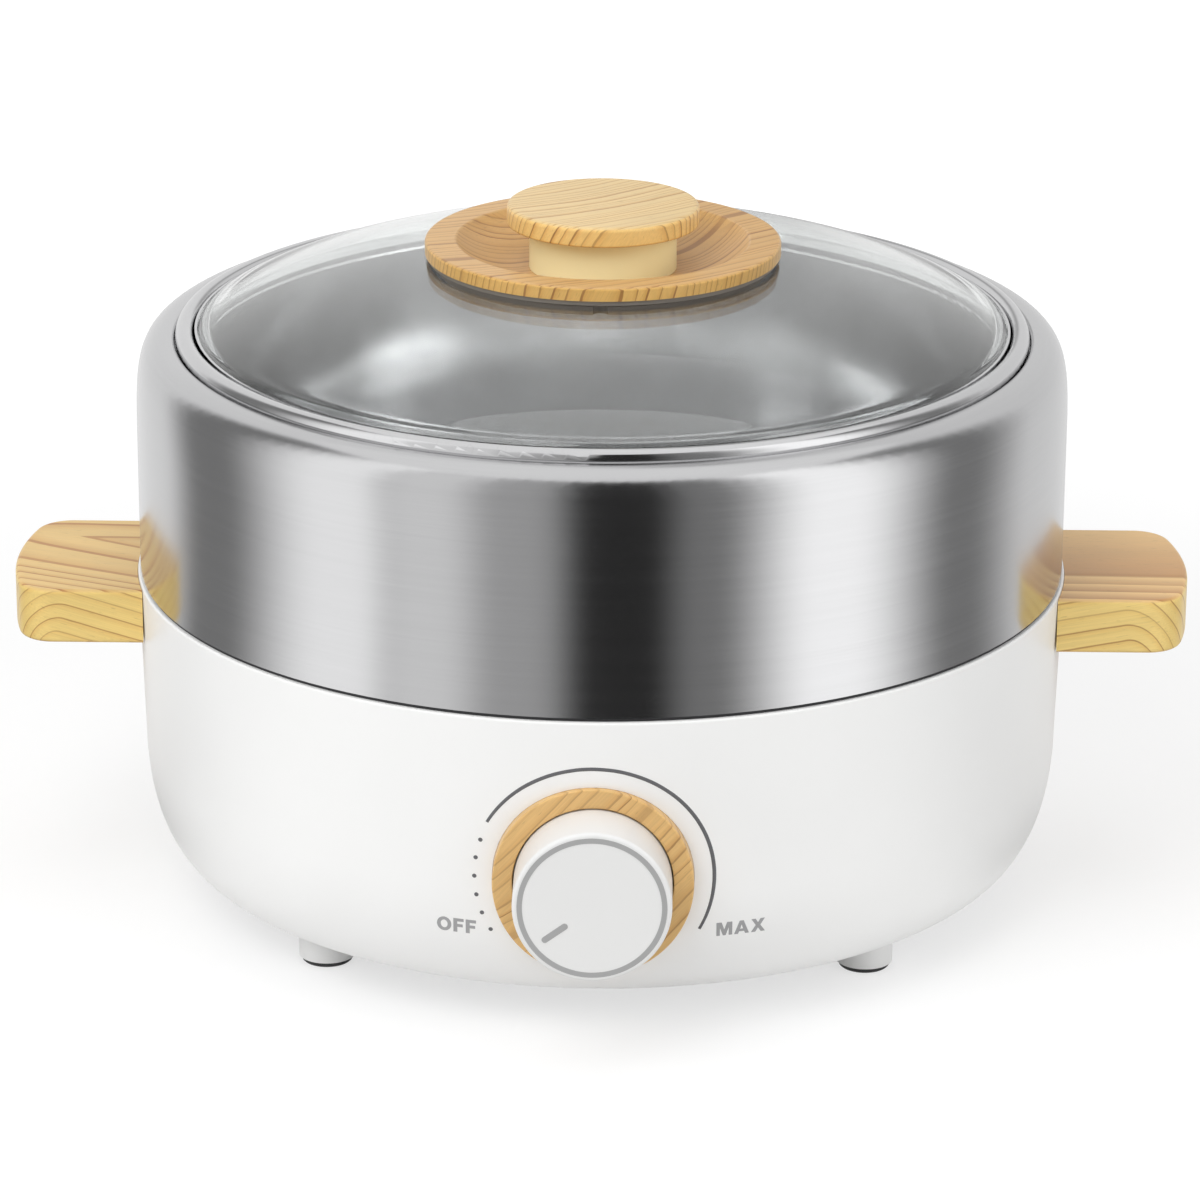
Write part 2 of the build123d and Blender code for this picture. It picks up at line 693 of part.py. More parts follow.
# ================================================================ inner pot
with BuildPart() as inner_pot:
    with BuildSketch(Plane.XZ):
        with BuildLine():
            inside = FilletPolyline(
                (0, pot_bottom_z + pot_wall),
                (pot_radius, pot_bottom_z + pot_wall),
                (pot_radius, lid_ledge_z),
                (neck_radius, lid_ledge_z),
                (neck_radius, rim_centre_z),
                radius=(pot_corner - pot_wall, ledge_bend, ledge_bend - pot_wall),
            )
            roll = CenterArc((rim_centre_radius, rim_centre_z), rim_radius, 180, -180)
            Line(roll @ 1, (rim_centre_radius + rim_radius, rim_skirt_z))
            offset(amount=pot_wall, side=Side.RIGHT)
        make_face()
    revolve(axis=Axis.Z)
finish(inner_pot, "inner_pot")

# ================================================================ lid
with BuildPart() as lid_glass:
    with BuildSketch(Plane.XZ) as section:
        with BuildLine():
            outer = dome_curve(0)
            inner = dome_curve(glass_thickness)
            Line(outer @ 0, inner @ 0)
            Polyline(
                outer @ 1,
                (glass_radius, glass_bottom_z),
                (glass_radius - glass_thickness, glass_bottom_z),
                inner @ 1,
            )
        make_face()
        fillet(section.vertices().sort_by_distance(outer @ 1)[0], glass_edge_round)
        fillet(section.vertices().sort_by_distance((glass_radius, glass_bottom_z))[0], glass_foot_round)
    revolve(axis=Axis.Z)
finish(lid_glass, "lid_glass")

with BuildPart() as lid_band:
    with BuildSketch(Plane.XZ):
        with BuildLine():
            FilletPolyline(
                (neck_radius - lid_clearance - band_foot, band_bottom_z),
                (neck_radius - lid_clearance, band_bottom_z),
                (neck_radius - lid_clearance, band_bottom_z + band_height),
                radius=band_bend,
            )
            offset(amount=band_wall, side=Side.LEFT)
        make_face()
    revolve(axis=Axis.Z)
finish(lid_band, "lid_band")

bowl_run = dish_radius - dish_rim_width - dish_floor_radius
bowl_depth = dish_top_z - dish_floor_z
bowl_arc_radius = (bowl_run**2 + bowl_depth**2) / (2 * bowl_depth)
bowl_centre = (dish_floor_radius, dish_floor_z + bowl_arc_radius)
dish_skirt_inner = skirt_radius - dish_skirt_wall


def bowl_angle(run, arc_radius):
    """The angle, from straight down, at which the bowl's arc has gone `run` outwards."""
    return degrees(asin(run / arc_radius))


with BuildPart() as lid_dish:
    with BuildSketch(Plane.XZ):
        with BuildLine():
            bowl = CenterArc(bowl_centre, bowl_arc_radius, 270, bowl_angle(bowl_run, bowl_arc_radius))
            under_radius = bowl_arc_radius + dish_wall
            under_run = dish_skirt_inner - dish_floor_radius
            under = CenterArc(bowl_centre, under_radius, 270, bowl_angle(under_run, under_radius))
            Polyline(bowl @ 0, (0, dish_floor_z), (0, dish_floor_z - dish_wall), under @ 0)
            Polyline(
                under @ 1,
                (dish_skirt_inner, dish_seat_z - dish_skirt_drop),
                (skirt_radius, dish_seat_z - dish_skirt_drop),
                (skirt_radius, dish_seat_z),
                (dish_radius, dish_seat_z),
                (dish_radius, dish_top_z),
                bowl @ 1,
            )
        make_face()
    revolve(axis=Axis.Z)
    rim_edges = lid_dish.edges().filter_by(GeomType.CIRCLE).group_by(Axis.Z)[-1]
    fillet(rim_edges, dish_edge_round)
    with BuildSketch(Plane.XY.offset(dish_floor_z)):
        Circle(knob_bolt[0] + push_fit)
    extrude(amount=-dish_wall, mode=Mode.SUBTRACT)
finish(lid_dish, "lid_dish")

with BuildPart() as dish_gasket:
    with BuildSketch(Plane.XZ):
        with BuildLine():
            under = dome_curve(-push_fit)
            Polyline(
                under @ 0,
                (dome_hole_radius, dish_seat_z),
                (glass_radius + push_fit, dish_seat_z),
                under @ 1,
            )
        make_face()
        with Locations((dish_radius - gasket_setback, 0)):
            Rectangle(glass_radius, 2 * dish_seat_z, align=(Align.MIN, Align.MIN), mode=Mode.SUBTRACT)
    revolve(axis=Axis.Z)
finish(dish_gasket, "dish_gasket")

clamp_top_z = dome_crown_z - glass_thickness - clamp_gap
with BuildPart() as dish_clamp:
    with BuildSketch(Plane.XY.offset(clamp_top_z - clamp_height)):
        Circle(clamp_radius)
        Circle(skirt_radius + push_fit, mode=Mode.SUBTRACT)
        with PolarLocations(clamp_radius, clamp_notches):
            Circle(clamp_notch_radius, mode=Mode.SUBTRACT)
    extrude(amount=clamp_height)
finish(dish_clamp, "dish_clamp")

with BuildPart() as lid_stem:
    with BuildSketch(Plane.XY.offset(dish_floor_z)):
        Circle(stem_radius)
    extrude(amount=disc_bottom_z - dish_floor_z)
    with BuildSketch(Plane.XY.offset(dish_floor_z + stem_wall)):
        Circle(stem_radius - stem_wall)
    extrude(amount=disc_bottom_z - dish_floor_z - stem_wall, mode=Mode.SUBTRACT)
    with BuildSketch(Plane.XY.offset(dish_floor_z)):
        Circle(knob_bolt[0] + push_fit)
    extrude(amount=stem_wall, mode=Mode.SUBTRACT)
finish(lid_stem, "lid_stem")

with BuildPart() as lid_disc:
    with BuildSketch(Plane.XY.offset(disc_bottom_z)):
        Circle(disc_radius)
    extrude(amount=disc_thickness)
    fillet(lid_disc.edges().group_by(Axis.Z)[-1], disc_round)
    fillet(lid_disc.edges().group_by(Axis.Z)[0], disc_foot_round)
    boss_bottom_z = dish_floor_z + stem_wall + push_fit
    with BuildSketch(Plane.XY.offset(boss_bottom_z)):
        Circle(disc_boss_radius)
    extrude(amount=disc_bottom_z - boss_bottom_z)
    with BuildSketch(Plane.XY.offset(boss_bottom_z)):
        Circle(knob_bolt[0] + push_fit)
    extrude(amount=disc_bottom_z - boss_bottom_z + disc_bore_depth, mode=Mode.SUBTRACT)
finish(lid_disc, "lid_disc")

with BuildPart(Plane.XY.offset(dish_floor_z - dish_wall)) as lid_bolt:
    add(screw(knob_bolt, disc_bottom_z - dish_floor_z + dish_wall + disc_bolt_bite))
finish(lid_bolt, "lid_bolt")

# ================================================================ handles
for handle_name, outward in (("left", -1), ("right", 1)):
    with BuildPart() as handle:
        with BuildSketch(Plane.XY.offset(handle_top_z - handle_thickness)) as outline:
            with BuildLine():
                half_width = handle_width / 2
                root_radius = base_top_radius + handle_gap
                root_x = outward * sqrt(root_radius**2 - half_width**2)
                corner_x = outward * (handle_tip_x - handle_tip_bulge)
                near = Line((root_x, -half_width), (corner_x, -half_width))
                tip = ThreePointArc(near @ 1, (outward * handle_tip_x, 0), (corner_x, half_width))
                far = Line(tip @ 1, (root_x, half_width))
                ThreePointArc(far @ 1, (outward * root_radius, 0), near @ 0)
            make_face()
            corners = outline.vertices().group_by(Axis.X)[-1 if outward > 0 else 0]
            fillet(corners, handle_corner)
        extrude(amount=handle_thickness)
        rims = (handle.edges() - handle.edges().filter_by(Axis.Z)).filter_by(
            lambda edge: abs((edge @ 0.5).X * outward) > root_radius + push_fit
            or edge.geom_type == GeomType.LINE
        )
        fillet(rims, handle_round)
        with BuildSketch(Plane.YZ.offset(outward * handle_pad_x)):
            with Locations((0, handle_middle_z)):
                with GridLocations(handle_screw_spacing, 1, 2, 1):
                    Circle(large_screw[0] + push_fit)
        extrude(amount=outward * (handle_screw_length + handle_screw_tip_gap), mode=Mode.SUBTRACT)
    finish(handle, f"{handle_name}_handle")

with BuildPart() as handle_screws:
    for outward in (-1, 1):
        for across in (-1, 1):
            with Locations((outward * handle_pad_x, across * handle_screw_spacing / 2, handle_middle_z)):
                add(screw(large_screw, handle_screw_length), rotation=(0, 90 * outward, 0))
finish(handle_screws, "handle_screws")

# ================================================================ control
with BuildPart() as knob_trim_ring:
    with BuildSketch(facing_front(pocket_floor_y)):
        Circle(trim_outer_radius)
        Circle(trim_inner_radius, mode=Mode.SUBTRACT)
    extrude(amount=pocket_floor_y - trim_front_y)
    fillet(knob_trim_ring.edges().group_by(Axis.Y)[0], trim_round)
finish(knob_trim_ring, "knob_trim_ring")

knob_depth = knob_back_y - knob_front_y
hub_back_y = pocket_back_y - bush_length - hub_gap
with BuildPart() as knob_cap:
    with BuildSketch(facing_front(knob_back_y)):
        Circle(knob_radius)
    extrude(amount=knob_depth)
    fillet(knob_cap.edges().group_by(Axis.Y)[0], knob_edge_round)
    with BuildSketch(facing_front(knob_back_y)):
        Circle(knob_radius - knob_wall)
    extrude(amount=knob_depth - knob_wall - inlay_depth, mode=Mode.SUBTRACT)
    with BuildSketch(facing_front(hub_back_y)):
        Circle(hub_radius)
        Rectangle(2 * knob_radius - knob_wall, knob_rib)
        Rectangle(knob_rib, 2 * knob_radius - knob_wall)
    extrude(amount=hub_back_y - knob_front_y - knob_wall)
    with BuildSketch(facing_front(hub_back_y)):
        Circle(shaft_radius + push_fit / 2)
        with Locations((0, shaft_flat + push_fit / 2)):
            Rectangle(*flat_cut, align=(Align.CENTER, Align.MIN), mode=Mode.SUBTRACT)
    extrude(amount=hub_back_y - knob_front_y - 2 * knob_wall, mode=Mode.SUBTRACT)
    with BuildSketch(facing_front(knob_front_y + inlay_depth)):
        Circle(inlay_outer_radius)
        Circle(inlay_outer_radius - inlay_width, mode=Mode.SUBTRACT)
        with PolarLocations((pointer_inner + pointer_outer) / 2, 1, start_angle=pointer_angle):
            SlotOverall(pointer_outer - pointer_inner, pointer_width)
    extrude(amount=inlay_depth, mode=Mode.SUBTRACT)
finish(knob_cap, "knob_cap")

with BuildPart() as knob_ring:
    with BuildSketch(facing_front(knob_front_y + inlay_depth)):
        Circle(inlay_outer_radius)
        Circle(inlay_outer_radius - inlay_width, mode=Mode.SUBTRACT)
    extrude(amount=inlay_depth + inlay_proud)
finish(knob_ring, "knob_ring")

with BuildPart() as knob_pointer:
    with BuildSketch(facing_front(knob_front_y + inlay_depth)):
        with PolarLocations((pointer_inner + pointer_outer) / 2, 1, start_angle=pointer_angle):
            SlotOverall(pointer_outer - pointer_inner, pointer_width)
    extrude(amount=inlay_depth + inlay_proud)
finish(knob_pointer, "knob_pointer")

shaft_back_y = pocket_back_y + shaft_depth
shaft_front_y = knob_front_y + 2 * knob_wall + push_fit
with BuildPart() as knob_shaft:
    with BuildSketch(facing_front(shaft_back_y)):
        Circle(shaft_radius)
    extrude(amount=shaft_back_y - shaft_front_y)
    with BuildSketch(facing_front(hub_back_y + push_fit)):
        with Locations((0, shaft_flat)):
            Rectangle(*flat_cut, align=(Align.CENTER, Align.MIN))
    extrude(amount=hub_back_y + push_fit - shaft_front_y, mode=Mode.SUBTRACT)
finish(knob_shaft, "knob_shaft")

with BuildPart() as thermostat:
    with BuildSketch(facing_front(pocket_back_y + thermostat_size[1])):
        RectangleRounded(thermostat_size[0], thermostat_size[2], thermostat_corner)
    extrude(amount=thermostat_size[1])
    with BuildSketch(facing_front(pocket_back_y)):
        Circle(bush_radius)
    extrude(amount=bush_length)
    with BuildSketch(facing_front(shaft_back_y + push_fit)):
        Circle(shaft_radius + running_fit)
    extrude(amount=shaft_back_y + push_fit - pocket_back_y + bush_length, mode=Mode.SUBTRACT)
    with BuildSketch(facing_front(pocket_back_y + thermostat_size[1])):
        with GridLocations(terminal_spacing, 1, 2, 1):
            Rectangle(*terminal[:2])
    extrude(amount=-terminal[2])
finish(thermostat, "thermostat")

with BuildPart() as thermostat_nut:
    with BuildSketch(facing_front(pocket_floor_y)):
        RegularPolygon(nut_across_flats / 2, 6, major_radius=False)
        Circle(bush_radius + push_fit, mode=Mode.SUBTRACT)
    extrude(amount=nut_thickness)
finish(thermostat_nut, "thermostat_nut")

# ================================================================ power inlet
inlet_front_y = inlet_face_y + inlet_flange_thickness
socket_floor_y = inlet_front_y - inlet_socket_depth
pin_places = ((-inlet_pin_spacing / 2, 0), (inlet_pin_spacing / 2, 0), (0, inlet_pin_offset))
with BuildPart() as power_inlet:
    with BuildSketch(facing_back(inlet_face_y)):
        RectangleRounded(*inlet_flange, inlet_flange_corner)
    extrude(amount=inlet_flange_thickness)
    with BuildSketch(facing_back(inlet_face_y)):
        Rectangle(*inlet_body)
    extrude(amount=inlet_flange_thickness - inlet_depth)
    with BuildSketch(facing_back(socket_floor_y)) as socket:
        Rectangle(*inlet_socket)
        chamfer(socket.vertices().group_by(Axis.Z)[-1], inlet_corner)
    extrude(amount=inlet_socket_depth, mode=Mode.SUBTRACT)
    with BuildSketch(facing_back(socket_floor_y)):
        with Locations(*pin_places):
            Rectangle(inlet_pin[1] + 2 * push_fit, inlet_pin[0] + 2 * push_fit)
    extrude(amount=-inlet_depth, mode=Mode.SUBTRACT)
finish(power_inlet, "power_inlet")

with BuildPart() as inlet_pins:
    pin_back_y = inlet_front_y - inlet_depth - inlet_tab_length
    with BuildSketch(facing_back(pin_back_y)):
        with Locations(*pin_places):
            Rectangle(inlet_pin[1], inlet_pin[0])
    extrude(amount=socket_floor_y + inlet_pin_free - pin_back_y)
    chamfer(inlet_pins.edges().group_by(Axis.Y)[-1], inlet_pin_chamfer)
finish(inlet_pins, "inlet_pins")
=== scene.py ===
"""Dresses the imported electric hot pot: its studio, camera, finishes, glass dome and printed dial.

Metres, +Z up. The origin is on the pot's axis, in the plane of the four foot pads, and the
control knob faces -Y. The object's sizes are written in millimetres and turned to metres by
MM, and the studio's are in metres. Angles are written in degrees.
"""

import logging
import math
from dataclasses import dataclass
from enum import Enum
from typing import Any, ClassVar, Sequence

import bmesh
import bpy
from mathutils import Matrix, Vector


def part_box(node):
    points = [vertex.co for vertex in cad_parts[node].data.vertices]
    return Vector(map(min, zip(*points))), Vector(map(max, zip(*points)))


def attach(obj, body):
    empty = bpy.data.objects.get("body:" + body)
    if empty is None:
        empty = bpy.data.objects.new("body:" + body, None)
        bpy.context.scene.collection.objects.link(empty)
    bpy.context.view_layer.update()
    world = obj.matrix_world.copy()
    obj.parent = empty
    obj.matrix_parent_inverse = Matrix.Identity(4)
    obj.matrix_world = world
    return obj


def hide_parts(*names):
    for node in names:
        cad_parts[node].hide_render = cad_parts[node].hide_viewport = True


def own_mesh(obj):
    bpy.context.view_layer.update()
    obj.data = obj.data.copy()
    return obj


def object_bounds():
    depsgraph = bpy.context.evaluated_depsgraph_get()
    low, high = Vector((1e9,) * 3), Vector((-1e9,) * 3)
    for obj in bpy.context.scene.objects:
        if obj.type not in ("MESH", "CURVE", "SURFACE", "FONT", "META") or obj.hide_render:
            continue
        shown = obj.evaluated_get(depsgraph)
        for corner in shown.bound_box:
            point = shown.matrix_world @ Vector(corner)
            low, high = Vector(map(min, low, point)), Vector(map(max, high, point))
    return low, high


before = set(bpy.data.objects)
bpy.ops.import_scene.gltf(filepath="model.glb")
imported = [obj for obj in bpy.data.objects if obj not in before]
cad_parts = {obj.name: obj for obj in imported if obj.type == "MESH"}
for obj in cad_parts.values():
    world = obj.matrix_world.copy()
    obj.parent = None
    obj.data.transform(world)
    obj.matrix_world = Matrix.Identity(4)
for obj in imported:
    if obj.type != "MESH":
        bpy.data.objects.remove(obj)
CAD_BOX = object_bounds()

LOG = logging.getLogger("hot_pot")
MM = 0.001
PICTURE_WIDTH = 1200  # pixels, square

Inputs = dict[int | str, Any] | Sequence[Any]
Point = tuple[float, float]
Triple = tuple[float, float, float]
Colour = tuple[float, float, float, float]
Node = bpy.types.Node
Piece = bpy.types.Object
Socket = bpy.types.NodeSocket


# ------ helpers
def linear(colour: str) -> Colour:
    """Turn an sRGB colour such as "#E8C890" to linear RGBA."""
    parts = [int(colour[i : i + 2], 16) / 255 for i in (1, 3, 5)]
    channels = [c / 12.92 if c <= 0.04045 else ((c + 0.055) / 1.055) ** 2.4 for c in parts]
    return (channels[0], channels[1], channels[2], 1.0)


def grey(level: float) -> Colour:
    """Give a neutral linear colour."""
    return (level, level, level, 1.0)


def per(millimetres: float) -> float:
    """Give the texture scale, in cycles per metre, of a feature that many millimetres across."""
    return 1.0 / (millimetres * MM)


def in_scene(name: str, data: bpy.types.ID) -> Piece:
    """Make an object for some data and put it in the scene."""
    thing = bpy.data.objects.new(name, data)
    bpy.context.scene.collection.objects.link(thing)
    return thing


def keep_as_mesh(worker: Piece, name: str) -> Piece:
    """Turn an object with live modifiers, or a curve, into one plain mesh object.

    Args:
        worker: The object to evaluate. It is removed.
        name: The new object's name.

    Returns:
        The mesh object, at the origin.
    """
    bpy.context.view_layer.update()
    graph = bpy.context.evaluated_depsgraph_get()
    mesh = bpy.data.meshes.new_from_object(worker.evaluated_get(graph), depsgraph=graph)
    bpy.data.objects.remove(worker)
    mesh.name = name
    return in_scene(name, mesh)


class Tree:
    """A node tree that is being filled."""

    def __init__(self, tree: bpy.types.NodeTree) -> None:
        """Take up the tree."""
        self.tree = tree

    def add(self, kind: str, inputs: Inputs = (), operation: str = "", **settings: Any) -> Node:
        """Add one node, set its own properties, and fill or link its inputs.

        Args:
            kind: Blender's type name. A shader node's goes without its "ShaderNode".
            inputs: The node's inputs, as `feed` takes them.
            operation: What a mathematical node does.
            **settings: The node's other properties. `stops` gives a colour ramp's places and colours.

        Returns:
            The new node.
        """
        node = self.tree.nodes.new(kind if "Node" in kind else f"ShaderNode{kind}")
        for place, (position, colour) in enumerate(settings.pop("stops", ())):
            ramp = node.color_ramp.elements
            stop = ramp[place] if place < len(ramp) else ramp.new(position)
            stop.position, stop.color = position, colour
        if operation:
            node.operation = operation
        for key, value in settings.items():
            setattr(node, key, value)
        self.feed(node, inputs)
        return node

    def feed(self, node: Node | str, inputs: Inputs) -> None:
        """Fill or link a node's inputs.

        Args:
            node: The node or its name.
            inputs: Values to set and nodes or sockets to link, in the node's own order or under
                the names or numbers of its sockets.
        """
        node = self.tree.nodes[node] if isinstance(node, str) else node
        for key, value in inputs.items() if isinstance(inputs, dict) else enumerate(inputs):
            if isinstance(value, Node):
                value = next(socket for socket in value.outputs if socket.enabled)
            if isinstance(value, Socket):
                self.tree.links.new(value, node.inputs[key])
            else:
                node.inputs[key].default_value = value

    def patches(
        self, place: Socket | Node, size_mm: float | Triple, detail: float = 3.0,
        seen: Point | None = None, give: Point = (0.0, 1.0), **more: float,
    ) -> Node:
        """Build a value that wanders over soft patches.

        Args:
            place: Where each point lies, in metres.
            size_mm: How far across a patch is, or its size along each axis.
            detail: How many finer patterns lie in it.
            seen: The part of the noise's range that is spread over `give`, unless it stays plain.
            give: The values at the two ends of that part.
            **more: Further inputs of the noise.

        Returns:
            The node that gives the value.
        """
        scale = 1.0
        if isinstance(size_mm, tuple):
            place = self.add("VectorMath", (place, tuple(per(size) for size in size_mm)), "MULTIPLY")
        else:
            scale = per(size_mm)
        noise = self.add("TexNoise", {"Vector": place, "Scale": scale, "Detail": detail, **more})
        return self.add("MapRange", (noise, *seen, *give)) if seen else noise


class ShapeTree(Tree):
    """A geometry node tree with named inputs, which ends in one realised shape with its finish."""

    def __init__(self, name: str, values: dict[str, Any]) -> None:
        """Open the tree.

        Args:
            name: The tree's name.
            values: The named inputs with their values, "Finish" among them.
        """
        super().__init__(bpy.data.node_groups.new(name, "GeometryNodeTree"))
        self.values = values
        kinds = {label: {int: "Int", float: "Float"}.get(type(v), "Material") for label, v in values.items()}
        for label, kind in {"Start": "Geometry", **kinds}.items():
            self.tree.interface.new_socket(label, in_out="INPUT", socket_type=f"NodeSocket{kind}")
        self.tree.interface.new_socket("Shape", in_out="OUTPUT", socket_type="NodeSocketGeometry")
        self.entry = self.add("NodeGroupInput")

    def __getitem__(self, label: str) -> Socket:
        """Give the socket of a named input."""
        return self.entry.outputs[label]

    def shape(self, made: Node, name: str, start: bpy.types.Mesh | None = None) -> Piece:
        """End the tree, run it and keep what it makes.

        Args:
            made: The node that gives the finished geometry.
            name: The name of the piece.
            start: The mesh that the tree starts from, where it needs one.

        Returns:
            The piece as a plain mesh.
        """
        real = self.add("GeometryNodeRealizeInstances", {"Geometry": made})
        dressed = self.add("GeometryNodeSetMaterial", {"Geometry": real, "Material": self["Finish"]})
        self.add("NodeGroupOutput", {"Shape": dressed})
        worker = in_scene(f"{name}_start", start or bpy.data.meshes.new(f"{name}_start"))
        modifier = worker.modifiers.new(name, "NODES")
        modifier.node_group = self.tree
        for socket in self.tree.interface.items_tree:
            if socket.in_out == "INPUT" and socket.name in self.values:
                modifier[socket.identifier] = self.values[socket.name]
        return keep_as_mesh(worker, name)


# ------ finishes
@dataclass(frozen=True)
class Finish:
    """One real material with its surface treatment, built once as a node material."""

    name: str
    colour: str = "#B9BABC"
    roughness: float = 0.42
    depth_mm: float = 0.01  # how deep its relief is

    def material(self) -> bpy.types.Material:
        """Give the material, making it the first time."""
        if known := bpy.data.materials.get(self.name):
            return known
        made = bpy.data.materials.new(self.name)
        made.use_nodes = True
        tree = Tree(made.node_tree)
        place = tree.add("TexCoord").outputs["Object"]
        inputs = self.surface(tree, place)
        if shade := inputs.pop("Shade", None):
            tint = {0: linear(self.colour)[:3], "Scale": shade}
            inputs["Base Color"] = tree.add("VectorMath", tint, "SCALE")
        if height := inputs.pop("Height", None):
            inputs["Normal"] = tree.add("Bump", {"Height": height, "Distance": self.depth_mm * MM})
        tree.feed("Principled BSDF", inputs)
        return made

    def surface(self, tree: Tree, place: Socket) -> Inputs:
        """Build the pattern nodes.

        Args:
            tree: The material's node tree.
            place: The piece's Object coordinates, in metres.

        Returns:
            The Principled shader's inputs, as values, sockets or nodes. "Shade" stands for
            what the finish's colour is multiplied by, and "Height" for its relief, from 0 to 1.
        """
        raise NotImplementedError


@dataclass(frozen=True)
class MouldedPlastic(Finish):
    """Injection-moulded polypropylene or ABS.

    To the eye: an even colour with a soft broad shine, a fine spark-eroded grain in close
    light, and slightly smoother patches where hands wipe it.
    """

    colour: str = "#F4F4F3"
    roughness: float = 0.38
    depth_mm: float = 0.002
    grain_mm: float = 0.7  # real grain is 0.1 mm; drawn coarser so that it shows
    mottle: float = 0.015  # share by which the colour wanders over a moulding
    drift_mm: float = 55.0
    wiped: float = 0.07  # how far the roughness wanders
    wiped_mm: float = 18.0

    def surface(self, tree: Tree, place: Socket) -> Inputs:
        """Build a fine grain, slow colour drift and wiped patches."""
        ends = (self.roughness - self.wiped / 2, self.roughness + self.wiped / 2)
        return {
            "Shade": tree.patches(place, self.drift_mm, 2.0, seen=(0.3, 0.7), give=(1 - self.mottle, 1.0)),
            "Roughness": tree.patches(place, self.wiped_mm, detail=4.0, seen=(0.35, 0.7), give=ends),
            "Height": tree.patches(place, self.grain_mm),
        }


@dataclass(frozen=True)
class BrushedStainless(Finish):
    """Stainless sheet brushed round the drum with fine grit.

    To the eye: soft upright bars of light and dark, smeared along their height by level
    hairlines that are themselves barely seen.
    """

    colour: str = "#CBCBCC"
    roughness: float = 0.2
    streak: float = 0.02  # how far the hairlines shift the roughness
    hairline_mm: float = 0.4  # grit 240 leaves 0.06 mm lines; drawn coarser so that they show
    hairline_length_mm: float = 60.0
    depth_mm: float = 0.0002
    tone: float = 0.02  # share by which the hairlines lighten and darken the metal
    anisotropy: float = 0.7
    stroke_size: Point = (3.0, 8.0)  # how much longer and wider a heavy stroke is than a hairline
    stroke_seen: Point = (0.7, 1.3)  # the part of both patterns' sum that shows

    def surface(self, tree: Tree, place: Socket) -> Inputs:
        """Build hairlines that run round the axis, with heavier strokes among them."""
        length, width = self.hairline_length_mm, self.hairline_mm
        longer, wider = self.stroke_size
        sizes = ((length, length, width), (longer * length, longer * length, wider * width))
        lines, strokes = (tree.patches(place, size, Roughness=0.55) for size in sizes)
        both = tree.add("Math", (lines, strokes), "ADD")
        tone, gloss = (
            tree.add("MapRange", (both, *self.stroke_seen, middle - swing, middle + swing))
            for middle, swing in ((1, self.tone), (self.roughness, self.streak))
        )
        return {
            "Shade": tone,
            "Metallic": 1.0,
            "Roughness": gloss,
            "Anisotropic": self.anisotropy,
            "Anisotropic Rotation": 0.25,
            "Tangent": tree.add("Tangent", direction_type="RADIAL", axis="Z"),
            "Height": lines,
        }


@dataclass(frozen=True)
class SpunMetal(Finish):
    """Drawn and polished stainless steel.

    To the eye: bright and mirror-like, with faint turning lines round the axis, hazy patches
    where cooking has dulled it, and a loose net of fine scratches.
    """

    colour: str = "#D2D2D3"
    roughness: float = 0.12
    haze: float = 0.08  # roughness gained where use has dulled it
    haze_mm: float = 22.0
    ring_mm: float = 0.6  # spacing of the turning lines
    depth_mm: float = 0.0006
    scratch_mm: float = 9.0
    scratch_width: float = 0.02  # as a share of the net's size
    scratch_shade: float = 0.965  # how light a scratch is beside the metal

    def surface(self, tree: Tree, place: Socket) -> Inputs:
        """Build turning lines round the axis, dulled patches and a net of fine scratches."""
        across = tree.add("VectorMath", (place, (1.0, 1.0, 0.0)), "MULTIPLY")
        radius = tree.add("VectorMath", (across,), "LENGTH")
        height = tree.add("SeparateXYZ", (place,)).outputs["Z"]
        walk = tree.add("Math", (radius, height), "ADD")
        turned = {"W": walk, "Scale": per(self.ring_mm), "Detail": 2.0}
        rings = tree.add("TexNoise", turned, noise_dimensions="1D")
        ends = (self.roughness, self.roughness + self.haze)
        net = {"Vector": place, "Scale": per(self.scratch_mm)}
        scratches = tree.add("TexVoronoi", net, feature="DISTANCE_TO_EDGE")
        return {
            "Shade": tree.add("MapRange", (scratches, 0.0, self.scratch_width, self.scratch_shade, 1.0)),
            "Metallic": 1.0,
            "Roughness": tree.patches(place, self.haze_mm, 6.0, (0.4, 0.7), ends, Roughness=0.65),
            "Height": rings,
        }


